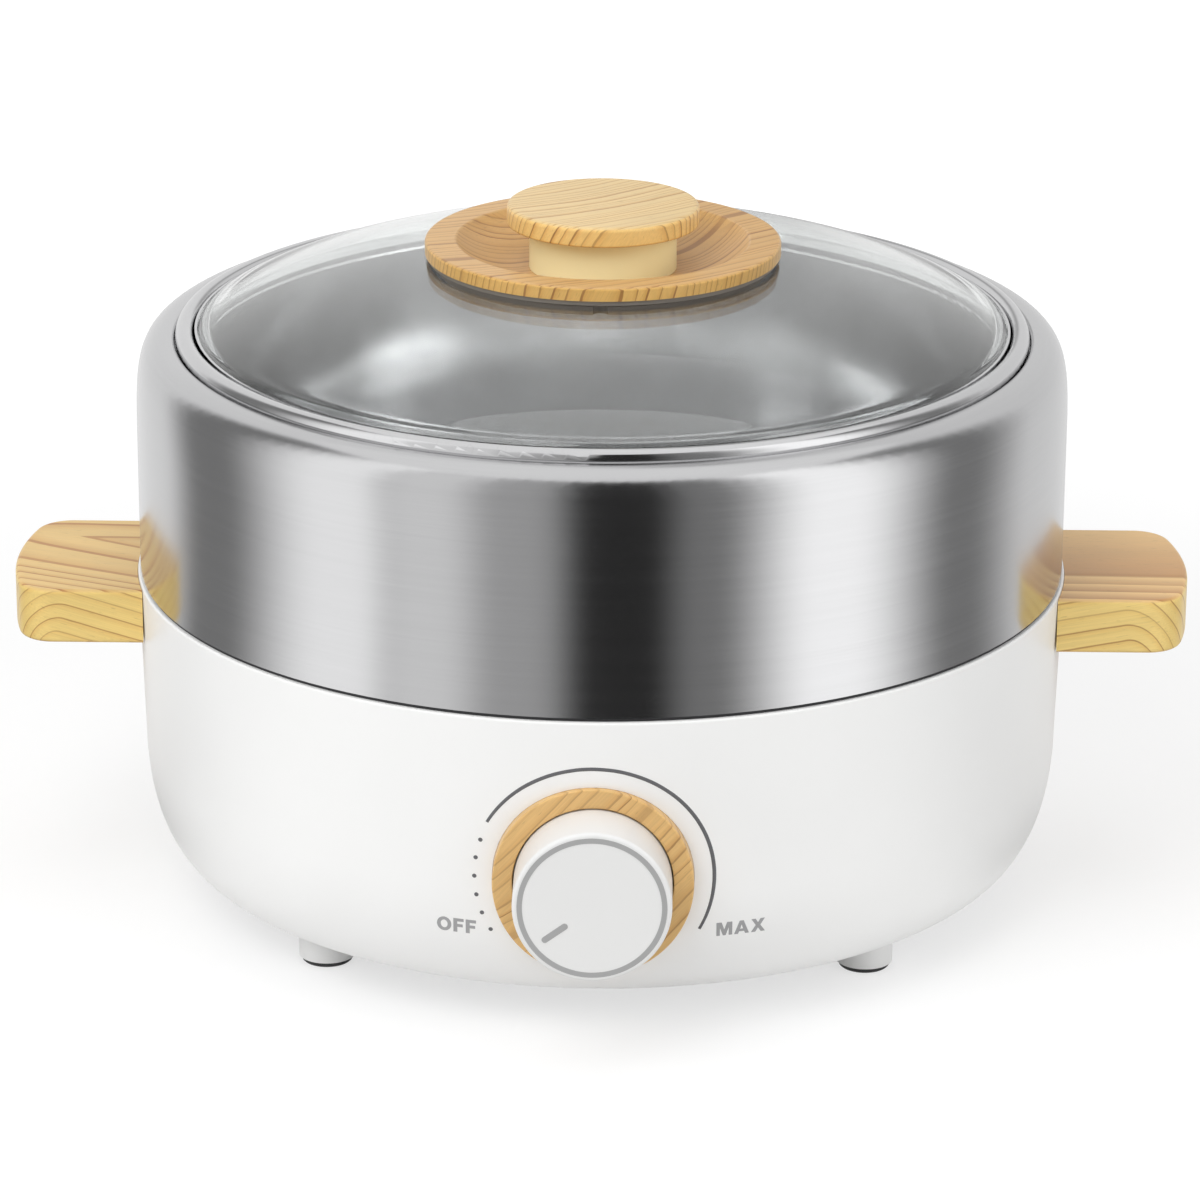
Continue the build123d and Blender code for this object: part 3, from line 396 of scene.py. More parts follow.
@dataclass(frozen=True)
class BoardCut:
    """One cut of a board: how its growth rings lie there, and the colours that they show.

    The rings wrap a pith line that starts at `start_mm` and runs along the turned X axis.
    Beyond its start the rings close round its end, `end_pull` times as tight as beside it.
    Young wood near the pith has wide rings, and grown wood further out has narrower ones.
    """

    start_mm: Triple
    turn_deg: Triple = (0.0, 0.0, 0.0)
    early: str = "#E6C898"
    late: str = "#DBB27C"
    line: str = "#A0703C"
    ring_mm: float = 3.0
    grown_from_mm: float = 1000.0  # distance from the pith at which the young wood ends
    grown_ring_mm: float = 3.0
    taper: float = 0.0  # how much the rings close in along the line
    fan_mm: float = 1000.0  # distance from the pith at which the taper has halved
    end_pull: float = 1.0
    wander_mm: float = 1.2  # how far a ring strays from its true place
    uneven: float = 0.8  # rings by which good and bad years shift the spacing
    unlike: float = 0.5  # share by which one line is fainter than the next
    darkens_from: float = 0.45  # share of a ring after which its wood darkens
    line_share: float = 0.1  # share of a ring that its dark growth line takes
    line_strength: float = 0.85
    line_end: ClassVar[float] = 0.97  # share of a ring after which its line fades
    line_rise: ClassVar[float] = 0.04  # share of a ring over which its line darkens
    strays: ClassVar[tuple[Point, ...]] = ((22.0, 4.0), (3.0, 0.5))  # size in mm, share of the wander
    stray_stretch: ClassVar[Triple] = (0.3, 1.0, 1.0)  # strays are longer along the grain
    years: ClassVar[float] = 3.5  # rings in a run of good or bad years

    def stops(self) -> tuple[tuple[float, Colour], ...]:
        """Give one ring's colours, from the start of a year to its sharp dark end."""
        dark = self.line_end - self.line_share
        places = (0.0, self.darkens_from, dark - self.line_rise, dark, self.line_end, 1.0)
        colours = (self.early, self.early, self.late, self.line, self.line, self.early)
        return tuple(zip(places, map(linear, colours)))

    def along(self, tree: Tree, place: Socket) -> Node:
        """Turn a place into the board's own axes.

        Args:
            tree: The material's node tree.
            place: The piece's Object coordinates, in metres.

        Returns:
            The place with X along the grain, from the pith line's start.
        """
        start = tuple(v * MM for v in self.start_mm)
        turn = tuple(math.radians(v) for v in self.turn_deg)
        seen = {"Vector": place, "Location": start, "Rotation": turn}
        return tree.add("Mapping", seen, vector_type="TEXTURE")

    def rings(self, tree: Tree, board: Node) -> tuple[Node, Node]:
        """Build the rings.

        Args:
            tree: The material's node tree.
            board: The place along the grain, from `along`.

        Returns:
            How far a point is through its year's growth, from 0 to 1, and that year's strength.
        """
        axes = tree.add("SeparateXYZ", (board,)).outputs
        beyond = tree.add("Math", (axes["X"], 0.0), "MINIMUM")
        closing = tree.add("Math", (beyond, self.end_pull), "MULTIPLY")
        spoke = tree.add("CombineXYZ", (closing, axes["Y"], axes["Z"]))
        radius = tree.add("VectorMath", (spoke,), "LENGTH")
        reach = tree.add("Math", (radius, self.fan_mm * MM), "ADD")
        fanned = tree.add("Math", (axes["X"], reach), "DIVIDE")
        tapered = tree.add("Math", (fanned, self.taper * self.fan_mm * MM, radius), "MULTIPLY_ADD")
        drawn_out = tree.add("VectorMath", (board, self.stray_stretch), "MULTIPLY")
        # noise is 0.5 on average, so half of both strays' reach is taken off first
        half = sum(share for _, share in self.strays) / 2 * self.wander_mm * MM
        strayed = tree.add("Math", (tapered, half), "SUBTRACT")
        for size_mm, share in self.strays:
            stray = tree.patches(drawn_out, size_mm, detail=2.0)
            strayed = tree.add("Math", (stray, share * self.wander_mm * MM, strayed), "MULTIPLY_ADD")
        runs = {"W": strayed, "Scale": per(self.years * self.ring_mm), "Detail": 1.0}
        years = tree.add("TexNoise", runs, noise_dimensions="1D")
        shift = tree.add("Math", (years, 2 * self.uneven, -self.uneven), "MULTIPLY_ADD")
        young = tree.add("Math", (strayed, per(self.ring_mm), shift), "MULTIPLY_ADD")
        past = tree.add("Math", (strayed, self.grown_from_mm * MM), "SUBTRACT")
        grown = tree.add("Math", (past, 0.0), "MAXIMUM")
        quicker = per(self.grown_ring_mm) - per(self.ring_mm)
        ring = tree.add("Math", (grown, quicker, young), "MULTIPLY_ADD")
        age, year = (tree.add("Math", (ring,), part) for part in ("FRACT", "FLOOR"))
        luck = tree.add("TexWhiteNoise", {"W": year}, noise_dimensions="1D")
        return age, tree.add("MapRange", (luck, 0.0, 1.0, 1 - self.unlike, 1.0))


@dataclass(frozen=True)
class LacqueredTimber(Finish):
    """Pale softwood under satin lacquer.

    To the eye: a warm board with thin brown growth lines that darken slowly and end sharply,
    silky fibre streaks, short dark pores, and upright sides in their own cut and more golden colours.
    """

    face: BoardCut = BoardCut((0.0, 0.0, -40.0))
    side: BoardCut | None = None  # the cut that the upright sides show, where it differs
    fibre_mm: Triple = (14.0, 0.35, 0.35)
    fibre: float = 0.06  # share by which the fibre streaks lighten and darken
    pore_mm: Triple = (5.0, 0.55, 0.55)
    pores: float = 0.2  # how much a pore darkens
    cloud_mm: Triple = (60.0, 14.0, 14.0)
    cloud: Point = (0.96, 1.03)  # how dark and how light its clouds are
    silk: float = 0.05  # how far the fibre shifts the roughness
    edge: Point = (0.45, 0.85)  # how level a face is where its side starts and ends to give way

    def board_colour(self, tree: Tree, place: Socket, cut: BoardCut) -> Node:
        """Build one cut's colour: rings, fibre streaks, pores and clouds.

        Args:
            tree: The material's node tree.
            place: The piece's Object coordinates, in metres.
            cut: The cut that is seen.

        Returns:
            The colour.
        """
        board = cut.along(tree, place)
        age, strength = cut.rings(tree, board)
        rings = tree.add("ValToRGB", (age,), stops=cut.stops())
        share = tree.add("Math", (strength, cut.line_strength), "MULTIPLY")
        colour = tree.add("Mix", {0: share, 6: linear(cut.early), 7: rings}, data_type="RGBA")
        for size_mm, seen, give in (
            (self.fibre_mm, (0.3, 0.7), (1 - self.fibre, 1 + self.fibre)),
            (self.pore_mm, (0.64, 0.72), (1.0, 1.0 - self.pores)),
            (self.cloud_mm, (0.35, 0.65), self.cloud),
        ):
            shade = tree.patches(board, size_mm, seen=seen, give=give)
            colour = tree.add("VectorMath", {0: colour, "Scale": shade}, "SCALE")
        return colour

    def surface(self, tree: Tree, place: Socket) -> Inputs:
        """Build the top and side cuts, and the sheen and relief of the fibre."""
        normal = tree.add("TexCoord").outputs["Normal"]
        facing = tree.add("SeparateXYZ", (normal,)).outputs["Z"]
        level = tree.add("Math", (facing,), "ABSOLUTE")
        upright = tree.add("MapRange", (level, *self.edge, 1.0, 0.0), interpolation_type="SMOOTHSTEP")
        face = self.board_colour(tree, place, self.face)
        side = self.board_colour(tree, place, self.side) if self.side else face
        board = self.face.along(tree, place)
        ends = (self.roughness - self.silk, self.roughness + self.silk)
        return {
            "Base Color": tree.add("Mix", {0: upright, 6: face, 7: side}, data_type="RGBA"),
            "Roughness": tree.patches(board, self.fibre_mm, seen=(0.3, 0.7), give=ends),
            "Coat Weight": 0.2,
            "Coat Roughness": 0.3,
            "Height": tree.patches(board, self.fibre_mm),
        }


@dataclass(frozen=True)
class TemperedGlass(Finish):
    """Clear tempered soda-lime glass.

    To the eye: almost nothing but its sharp reflections and bright edge, with faint smears
    from wiping.
    """

    colour: str = "#FBFDFC"
    smear_mm: float = 30.0
    smear: float = 0.03
    let_through: float = 0.94  # share of a lamp's light that reaches what is under the glass

    def surface(self, tree: Tree, place: Socket) -> Inputs:
        """Build wiped smears in the gloss, and let lamps through to what is under the glass."""
        lamp_ray = tree.add("LightPath").outputs["Is Shadow Ray"]
        clear = tree.add("BsdfTransparent", {"Color": grey(self.let_through)})
        shader = tree.tree.nodes["Principled BSDF"]
        both = tree.add("MixShader", (lamp_ray, shader, clear))
        tree.feed("Material Output", {"Surface": both})
        ends = (0.0, self.smear)
        gloss = tree.patches(place, self.smear_mm, 5.0, seen=(0.5, 0.75), give=ends, Distortion=1.5)
        clearness = {"Transmission Weight": 1.0, "IOR": 1.5}
        return {"Base Color": linear(self.colour), "Roughness": gloss, **clearness}


@dataclass(frozen=True)
class Clouded(Finish):
    """A surface that is clouded from one colour to another, over a fine grain."""

    depth_mm: float = 0.02
    clouded: str = "#8E8F92"  # its colour where it is most clouded
    cloud_mm: float = 14.0
    cloud_detail: float = 6.0
    cloud_seen: Point | None = None  # the part of the clouds' range that tints, unless all does
    swing: Point = (-0.1, 0.12)  # how far the clouds shift the roughness
    grain_mm: float = 0.8
    grain_detail: float = 3.0
    metallic: float = 0.0

    def surface(self, tree: Tree, place: Socket) -> Inputs:
        """Build the clouds in colour and gloss, and the grain."""
        cloud = (self.cloud_mm, self.cloud_detail)
        veil = tree.patches(place, *cloud, seen=self.cloud_seen)
        tints = {0: veil, 6: linear(self.colour), 7: linear(self.clouded)}
        ends = tuple(self.roughness + shift for shift in self.swing)
        return {
            "Base Color": tree.add("Mix", tints, data_type="RGBA"),
            "Metallic": self.metallic,
            "Roughness": tree.patches(place, *cloud, seen=(0.0, 1.0), give=ends),
            "Height": self.depth_mm and tree.patches(place, self.grain_mm, self.grain_detail),
        }


@dataclass(frozen=True)
class Rubber(Clouded):
    """Moulded nitrile or silicone rubber.

    To the eye: dull and dark, with a soft pale bloom and a little dust in its grain.
    """

    colour: str = "#232324"
    roughness: float = 0.62
    depth_mm: float = 0.01
    clouded: str = "#3A3A3B"
    cloud_mm: float = 6.0
    cloud_detail: float = 5.0
    swing: Point = (-0.08, 0.14)
    grain_mm: float = 0.5
    grain_detail: float = 2.0


@dataclass(frozen=True)
class CastMetal(Clouded):
    """Cast, rolled or plated metal that works out of sight.

    To the eye: grainy and soft in its shine, clouded by oxide.
    """

    cloud_seen: Point = (0.45, 0.75)
    metallic: float = 1.0


@dataclass(frozen=True)
class PrintedInk(Clouded):
    """Pad-printed ink.

    To the eye: a thin flat grey film whose cover is slightly uneven.
    """

    roughness: float = 0.4
    depth_mm: float = 0.0
    cloud_mm: float = 1.2
    cloud_detail: float = 3.0
    swing: Point = (0.0, 0.15)


WHITE_SHELL = MouldedPlastic("white_moulded_polypropylene")
WHITE_CAP = MouldedPlastic("white_moulded_abs", "#E9E9E8", 0.34)
WHITE_COVER = MouldedPlastic("white_spark_textured_cover", "#E9E9E7", 0.5, depth_mm=0.012)
GREY_INLAY = MouldedPlastic("grey_moulded_abs_inlay", "#A9A9A9", 0.36)
# painted light: the cream is lighter than the melamine's own, standing in for light that the disc's shade
# takes off the stem
IVORY_STEM = MouldedPlastic("ivory_moulded_melamine", "#FFF9CA", 0.32)
BLACK_THERMOSET = MouldedPlastic(
    "black_moulded_thermoset", "#1D1D1E", 0.45, depth_mm=0.006, mottle=0.2
)
BROWN_NYLON = MouldedPlastic("brown_glass_filled_nylon", "#6F675F", 0.5, depth_mm=0.01, mottle=0.1)
BRUSHED_BAND = BrushedStainless("brushed_stainless_steel")
POLISHED_POT = SpunMetal("polished_stainless_steel")
POLISHED_BAND = SpunMetal("polished_stainless_trim", roughness=0.1, haze=0.05)
CLEAR_GLASS = TemperedGlass("tempered_soda_lime_glass")
HANDLE_LEFT = LacqueredTimber(
    "lacquered_pine_left",
    face=BoardCut(
        (-173.7, 18.2, 105.0), (0.0, 0.0, -14.8), "#DFBC78", "#CEA15E", "#A8682C", ring_mm=14.0,
        grown_from_mm=30.0, grown_ring_mm=5.0, taper=-0.29, fan_mm=40.0, end_pull=0.25, wander_mm=0.35,
        uneven=0.1, unlike=0.2,
    ),
    side=BoardCut(
        (-176.0, -38.0, 83.1), (0.0, 16.5, 0.0), "#E7C878", "#DDB464", "#9A6022", ring_mm=4.6,
        end_pull=1.4, wander_mm=0.5, uneven=0.1, unlike=0.4, line_share=0.06, line_strength=0.7,
    ),
)
HANDLE_RIGHT = LacqueredTimber(
    "lacquered_pine_right",
    face=BoardCut(
        (190.0, 40.0, 100.0), (0.0, 0.0, 180.0), "#ECC484", "#B67E4A", "#A4692C", ring_mm=54.6,
        grown_from_mm=53.7, grown_ring_mm=7.0, taper=0.03, wander_mm=0.35, uneven=0.05, unlike=0.3,
        darkens_from=0.05, line_share=0.02,
    ),
    side=BoardCut(
        (172.0, -38.0, 77.0), (0.0, 10.0, 180.0), "#EECF7E", "#E4BC68", "#9A6022", ring_mm=5.2,
        end_pull=1.6, wander_mm=0.5, uneven=0.1, unlike=0.4, line_share=0.06, line_strength=0.75,
    ),
)
ASH_YEARS = {"uneven": 1.2, "unlike": 0.6}
# painted shade, in part: the face colours are darker than the ash's own, standing in for the shade in the
# dish's bowl, and the rim top shares it
DISH_TIMBER = LacqueredTimber(
    "lacquered_ash_dish",
    face=BoardCut(
        (-90.0, 130.0, 240.0), (0.0, 0.0, 41.0), "#CCA368", "#BC8A4E", "#84542A", ring_mm=3.4, **ASH_YEARS
    ),
    side=BoardCut(
        (-40.0, -90.0, 130.0), (0.0, -64.0, 0.0), "#D8AC60", "#C9964A", "#865222", ring_mm=2.4, **ASH_YEARS
    ),
)
DISC_TIMBER = LacqueredTimber(
    "lacquered_ash_disc",
    face=BoardCut(
        (-90.0, 130.0, 340.0), (0.0, 0.0, 41.0), "#DCC08A", "#CDA76C", "#A06E38", ring_mm=2.2, **ASH_YEARS
    ),
    side=BoardCut((-30.0, -60.0, 150.0), (0.0, -52.0, 0.0), "#EDC57A", "#D9A458", "#8A5A2A", **ASH_YEARS),
)
TRIM_TIMBER = LacqueredTimber(
    "lacquered_pine_trim",
    face=BoardCut(
        (-70.0, -190.0, 110.0), (0.0, -48.0, 0.0), "#DDB474", "#CA9654", "#84501F", ring_mm=3.4,
        uneven=1.4, unlike=0.85,
    ),
)
BLACK_RUBBER = Rubber("black_nitrile_rubber")
# painted shade, in part: the seal's dark colour stands in for the shadow in the gap between housing and
# steel
SEAM_SEAL_AND_SHADE = Rubber("dark_silicone_seal_and_painted_gap_shade", "#2B2B2D", clouded="#3C3C3E")
GREY_SILICONE = Rubber("grey_silicone_gasket", "#7A736B", 0.5, clouded="#8B847B")
ROLLED_ALUMINIUM = CastMetal("rolled_aluminium_liner", "#C6C7C9", 0.36, clouded="#A8A9AC")
CAST_ALUMINIUM = CastMetal("die_cast_aluminium_plate", grain_mm=1.2)
ZINC_SCREW = CastMetal("zinc_plated_steel_screw", "#C3C4C0", 0.3, clouded="#A5A59F")
HEATED_SHEATH = CastMetal("heat_tinted_steel_sheath", "#8A837A", 0.45, clouded="#5F5A54")
NICKEL_PIN = CastMetal("nickel_plated_brass_pin", "#D2D0C8", 0.2, clouded="#B8B5AA")
GREY_INK = PrintedInk("grey_pad_printed_ink", "#9B9B9C", clouded="#A7A7A8")
DARK_INK = PrintedInk("dark_pad_printed_ink", "#5E5E60", clouded="#6C6D70")


# ------ studio
@dataclass(frozen=True)
class StudioCard:
    """A tall card by the set that only shiny things see: a lit panel or a dark flag."""

    bearing: float  # round the pot, 0 in front and 90 on the right
    half_width: float
    soft_edges: Point  # angles over which it fades out, left and right
    level: float  # brightness, where 1 is white


@dataclass(frozen=True)
class Lamp:
    """A round soft lamp."""

    name: str
    bearing: float
    elevation: float
    distance: float
    size: float  # across
    watts: float


@dataclass
class Studio:
    """The floor, the lamps, the surroundings and the camera."""

    floor_radius: float = 3.0
    floor_steps: int = 96
    shadow_radius: float = 0.3  # where the floor starts to fade
    white_from: float = 0.75  # where the floor has faded to plain white
    least_fade: float = 0.55  # share of white that the floor shows by the pot
    paper: float = 0.8
    floor_shine: float = 1.15
    ambient: float = 0.5
    camera_distance: float = 1.7
    camera_elevation: float = 19.84
    camera_bearing: float = 0.74
    camera_roll: float = 0.32
    camera_aim_z: float = 0.09115  # where it aims on the pot's axis
    sensor_width: float = 36.0  # millimetres
    focal_pixels: float = 5185.0
    centre_pixel_x: float = 601.0
    tent_corners: tuple[Point, ...] = ((0.155, 0.0004), (0.42, 0.0004), (0.42, 0.7))  # radius, height
    tent_steps: int = 180
    tent_level: float = 0.24
    lamps: Sequence[Lamp] = (
        Lamp("key_lamp", -38.0, 48.0, 1.5, 1.1, 10.2),
        Lamp("fill_lamp", 62.0, 28.0, 1.7, 1.1, 5.2),
        Lamp("top_lamp", 0.0, 88.0, 1.4, 1.2, 5.0),
    )
    cards: Sequence[StudioCard] = (
        StudioCard(-145.0, 30.0, (18.0, 18.0), 0.9),  # back left panel
        StudioCard(-54.0, 4.0, (29.0, 17.0), 1.22),  # left panel
        StudioCard(-20.0, 6.0, (8.0, 13.0), 0.47),  # front left card
        StudioCard(-34.0, 3.0, (12.0, 12.0), 0.88),  # left fill card
        StudioCard(4.5, 5.5, (9.0, 10.0), 0.03),  # camera flag
        StudioCard(48.5, 3.5, (22.0, 28.0), 1.42),  # right panel
        StudioCard(135.0, 24.0, (26.0, 18.0), 0.82),  # back right panel
    )

    def build(self) -> None:
        """Make everything round the object."""
        self.set_world()
        self.lay_floor()
        self.hang_lamps()
        self.stand_tent()
        self.place_camera()
        bpy.context.scene.view_settings.view_transform = "Standard"

    def towards(self, bearing: float, elevation: float) -> Vector:
        """Give the direction of a bearing and an elevation in degrees, seen from the pot."""
        a, e = math.radians(bearing), math.radians(elevation)
        return Vector((math.sin(a) * math.cos(e), -math.cos(a) * math.cos(e), math.sin(e)))

    def seen_directly(self, tree: Tree) -> Node:
        """Tell apart the rays by which something is seen.

        Args:
            tree: The material's or the surroundings' node tree.

        Returns:
            1 for camera, glossy and transmission rays, and 0 for the others.
        """
        path = tree.add("LightPath").outputs
        seen = path["Is Camera Ray"]
        for ray in ("Is Glossy Ray", "Is Transmission Ray"):
            seen = tree.add("Math", (seen, path[ray]), "MAXIMUM")
        return seen

    def set_world(self) -> None:
        """Make plain surroundings: white where seen, softer where they only light."""
        world = bpy.data.worlds.new("studio")
        bpy.context.scene.world = world
        world.use_nodes = True
        tree = Tree(world.node_tree)
        strength = tree.add("MapRange", (self.seen_directly(tree), 0.0, 1.0, self.ambient, 1.0))
        tree.feed("Background", {"Color": grey(1.0), "Strength": strength})

    def ring_points(self, radius: float, height: float, steps: int) -> list[Triple]:
        """Give points round a level circle, from the front."""
        turns = (math.tau * i / steps for i in range(steps))
        return [(radius * math.sin(a), -radius * math.cos(a), height) for a in turns]

    def staged(self, name: str, points: list[Triple], faces: list[Sequence[int]]) -> tuple[Piece, Tree]:
        """Stand a piece of the set.

        Args:
            name: The name of the piece and of its material.
            points: Its mesh's points.
            faces: Its mesh's faces, as numbers of points.

        Returns:
            The piece and its material's tree, where only the output stands.
        """
        mesh = bpy.data.meshes.new(name)
        mesh.from_pydata(points, [], faces)
        thing = in_scene(name, mesh)
        material = bpy.data.materials.new(name)
        material.use_nodes = True
        nodes = material.node_tree.nodes
        nodes.remove(nodes["Principled BSDF"])
        mesh.materials.append(material)
        return thing, Tree(material.node_tree)

    def lay_floor(self) -> None:
        """Make a round pale floor that keeps the shadow and fades to white."""
        points = self.ring_points(self.floor_radius, 0.0, self.floor_steps)
        _, tree = self.staged("pale_studio_floor", points, [range(self.floor_steps)])
        place = tree.add("TexCoord").outputs["Object"]
        away = tree.add("VectorMath", (place,), "LENGTH")
        fade = (away, self.shadow_radius, self.white_from, self.least_fade, 1.0)
        white = tree.add("MapRange", fade, interpolation_type="SMOOTHSTEP")
        share = tree.add("Math", (white, self.seen_directly(tree)), "MULTIPLY")
        paper = tree.add("BsdfDiffuse", {"Color": grey(self.paper)})
        shine = tree.add("Emission", {"Color": grey(1.0), "Strength": self.floor_shine})
        above = tree.add("MixShader", (share, paper, shine))
        under = tree.add("BsdfTransparent")
        below = tree.add("NewGeometry").outputs["Backfacing"]
        both = tree.add("MixShader", (below, above, under))
        tree.feed("Material Output", {"Surface": both})

    def hang_lamps(self) -> None:
        """Hang the lamps, which light the object but don't show in it."""
        for lamp in self.lamps:
            away = self.towards(lamp.bearing, lamp.elevation)
            light = bpy.data.lights.new(lamp.name, "AREA")
            light.shape, light.size, light.energy = "DISK", lamp.size, lamp.watts
            hung = in_scene(lamp.name, light)
            hung.location = away * lamp.distance
            hung.rotation_euler = (-away).to_track_quat("-Z", "Y").to_euler()
            hung.visible_glossy = False

    def stand_tent(self) -> None:
        """Stand the bell tent of lit panels and dark flags that only shiny surfaces see.

        Its skirt lies on the floor round the pot, so the floor's white stays out of the steel.
        """
        steps = self.tent_steps
        points = [p for radius, height in self.tent_corners for p in self.ring_points(radius, height, steps)]
        faces = [
            (low + i, low + (i + 1) % steps, low + steps + (i + 1) % steps, low + steps + i)
            for low in (0, steps)
            for i in range(steps)
        ]
        tent, tree = self.staged("tent_cloth_and_cards", points, faces)
        place = tree.add("TexCoord").outputs["Object"]
        axes = tree.add("SeparateXYZ", (place,)).outputs
        front = tree.add("Math", (axes["Y"], -1.0), "MULTIPLY")
        bearing = tree.add("Math", (axes["X"], front), "ARCTAN2")
        level = self.tent_level
        for card in self.cards:
            offset = tree.add("Math", (bearing, math.radians(card.bearing)), "SUBTRACT")
            wrapped = tree.add("Math", (offset, -math.pi, math.pi), "WRAP")
            cover = []
            for side, soft in zip((-1, 1), card.soft_edges):
                near, far = side * math.radians(card.half_width), side * math.radians(card.half_width + soft)
                fade = (wrapped, near, far, 1.0, 0.0)
                cover.append(tree.add("MapRange", fade, interpolation_type="SMOOTHSTEP"))
            share = tree.add("Math", cover, "MINIMUM")
            level = tree.add("Mix", {0: share, 2: level, 3: card.level})
        shine = tree.add("Emission", {"Color": grey(1.0), "Strength": level})
        tree.feed("Material Output", {"Surface": shine})
        tent.visible_camera = tent.visible_diffuse = tent.visible_shadow = False
        tent.visible_transmission = tent.visible_volume_scatter = False

    def place_camera(self) -> None:
        """Set the camera on its tripod, aimed at the pot's axis."""
        back = self.towards(self.camera_bearing, self.camera_elevation)
        data = bpy.data.cameras.new("camera")
        data.sensor_width = self.sensor_width
        data.lens = self.focal_pixels * data.sensor_width / PICTURE_WIDTH
        data.shift_x = (PICTURE_WIDTH / 2 - self.centre_pixel_x) / PICTURE_WIDTH
        data.clip_start, data.clip_end = 0.05, 50.0
        camera = in_scene("camera", data)
        camera.location = Vector((0.0, 0.0, self.camera_aim_z)) + back * self.camera_distance
        turn = (-back).to_track_quat("-Z", "Y").to_matrix()
        roll = Matrix.Rotation(math.radians(self.camera_roll), 3, "Z")
        camera.rotation_euler = (turn @ roll).to_euler()
        bpy.context.scene.camera = camera


# ------ sub-assemblies
@dataclass
class SubAssembly:
    """A group of pieces that are made together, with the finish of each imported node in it."""

    finishes: ClassVar[dict[str, Finish]] = {}

    def build(self) -> list[Piece]:
        """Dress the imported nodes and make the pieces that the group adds.

        Returns:
            The added pieces.
        """
        for name, finish in self.finishes.items():
            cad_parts[name].material_slots[0].material = finish.material()
            LOG.info("dressed %s in %s", name, finish.name)
        pieces = self.make()
        for piece in pieces:
            LOG.info("made %s: %d faces", piece.name, len(piece.data.polygons))
        return pieces

    def make(self) -> list[Piece]:
        """Make the group's own pieces, where it has any."""
        return []


@dataclass
class BaseUnit(SubAssembly):
    """The white housing with its feet, rubber pads and screwed bottom cover."""

    finishes = {
        "base_housing": WHITE_SHELL, "feet": WHITE_SHELL, "foot_pads": BLACK_RUBBER,
        "bottom_cover": WHITE_COVER, "cover_screws": ZINC_SCREW,
    }


@dataclass
class SteelBand(SubAssembly):
    """The brushed steel drum, its seam seal and the screws that hold it.

    The seal's dark colour is partly painted shade: it stands in for the shadow in the seam's gap.
    """

    finishes = {"steel_shell": BRUSHED_BAND, "seam_seal": SEAM_SEAL_AND_SHADE, "shell_screws": ZINC_SCREW}


@dataclass
class HeaterBay(SubAssembly):
    """The aluminium liner with the heating plate, its element and the sprung probe."""

    finishes = {
        "liner": ROLLED_ALUMINIUM, "liner_screws": ZINC_SCREW, "heating_plate": CAST_ALUMINIUM,
        "heating_element": HEATED_SHEATH, "plate_spacers": HEATED_SHEATH, "plate_screws": ZINC_SCREW,
        "thermal_cutout": BLACK_THERMOSET, "temperature_probe": CAST_ALUMINIUM,
    }
    coil_turns: float = 4.0
    coil_steps: int = 32  # to a turn
    wire_radius: float = 0.45
    wire_steps: int = 12
    press: float = 2.55  # how much shorter the spring is with the probe down

    def make(self) -> list[Piece]:
        """Wind the probe's spring at one length, though the real one shortens as the probe goes down."""
        low, high = (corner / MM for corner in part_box("probe_spring"))
        tree = ShapeTree("wound_spring", {
            "Coil Radius": (high.x - self.wire_radius) * MM,
            "Rise": (high.z - low.z - 2 * self.wire_radius) * MM,
            "Foot": (low.z + self.wire_radius) * MM,
            "Wire Radius": self.wire_radius * MM,
            "Finish": ZINC_SCREW.material(),
        })
        coil = tree.add("GeometryNodeCurveSpiral", {
            "Resolution": self.coil_steps, "Rotations": self.coil_turns, "Height": tree["Rise"],
            "Start Radius": tree["Coil Radius"], "End Radius": tree["Coil Radius"], "Reverse": True,
        })
        ring = {"Resolution": self.wire_steps, "Radius": tree["Wire Radius"]}
        wire = tree.add("GeometryNodeCurvePrimitiveCircle", ring)
        sweep = {"Curve": coil, "Profile Curve": wire, "Fill Caps": True}
        wound = tree.add("GeometryNodeCurveToMesh", sweep)
        lift = tree.add("CombineXYZ", {"Z": tree["Foot"]})
        raised = tree.add("GeometryNodeTransform", {"Geometry": wound, "Translation": lift})
        spring = tree.shape(raised, "coil_spring")
        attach(spring, "base")
        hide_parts("probe_spring")
        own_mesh(spring)
        return [spring]


@dataclass
class CookingPot(SubAssembly):
    """The lift-out stainless pot."""

    finishes = {"inner_pot": POLISHED_POT}


@dataclass
class SideHandles(SubAssembly):
    """The two timber handles and their screws."""

    finishes = {"left_handle": HANDLE_LEFT, "right_handle": HANDLE_RIGHT, "handle_screws": ZINC_SCREW}


@dataclass
class PowerInlet(SubAssembly):
    """The appliance inlet at the back."""

    finishes = {"power_inlet": BLACK_THERMOSET, "inlet_pins": NICKEL_PIN}


def smooth_line(pulls: Sequence[Point], steps: int) -> list[Point]:
    """Draw a Bezier curve.

    Args:
        pulls: Its end points, with the points that pull it between them.
        steps: How many straight steps it takes.

    Returns:
        The points along it.
    """
    last = len(pulls) - 1
    return [
        tuple(
            sum(math.comb(last, k) * v * t**k * (1 - t) ** (last - k) for k, v in enumerate(values))
            for values in zip(*pulls)
        )
        for t in (i / steps for i in range(steps + 1))
    ]


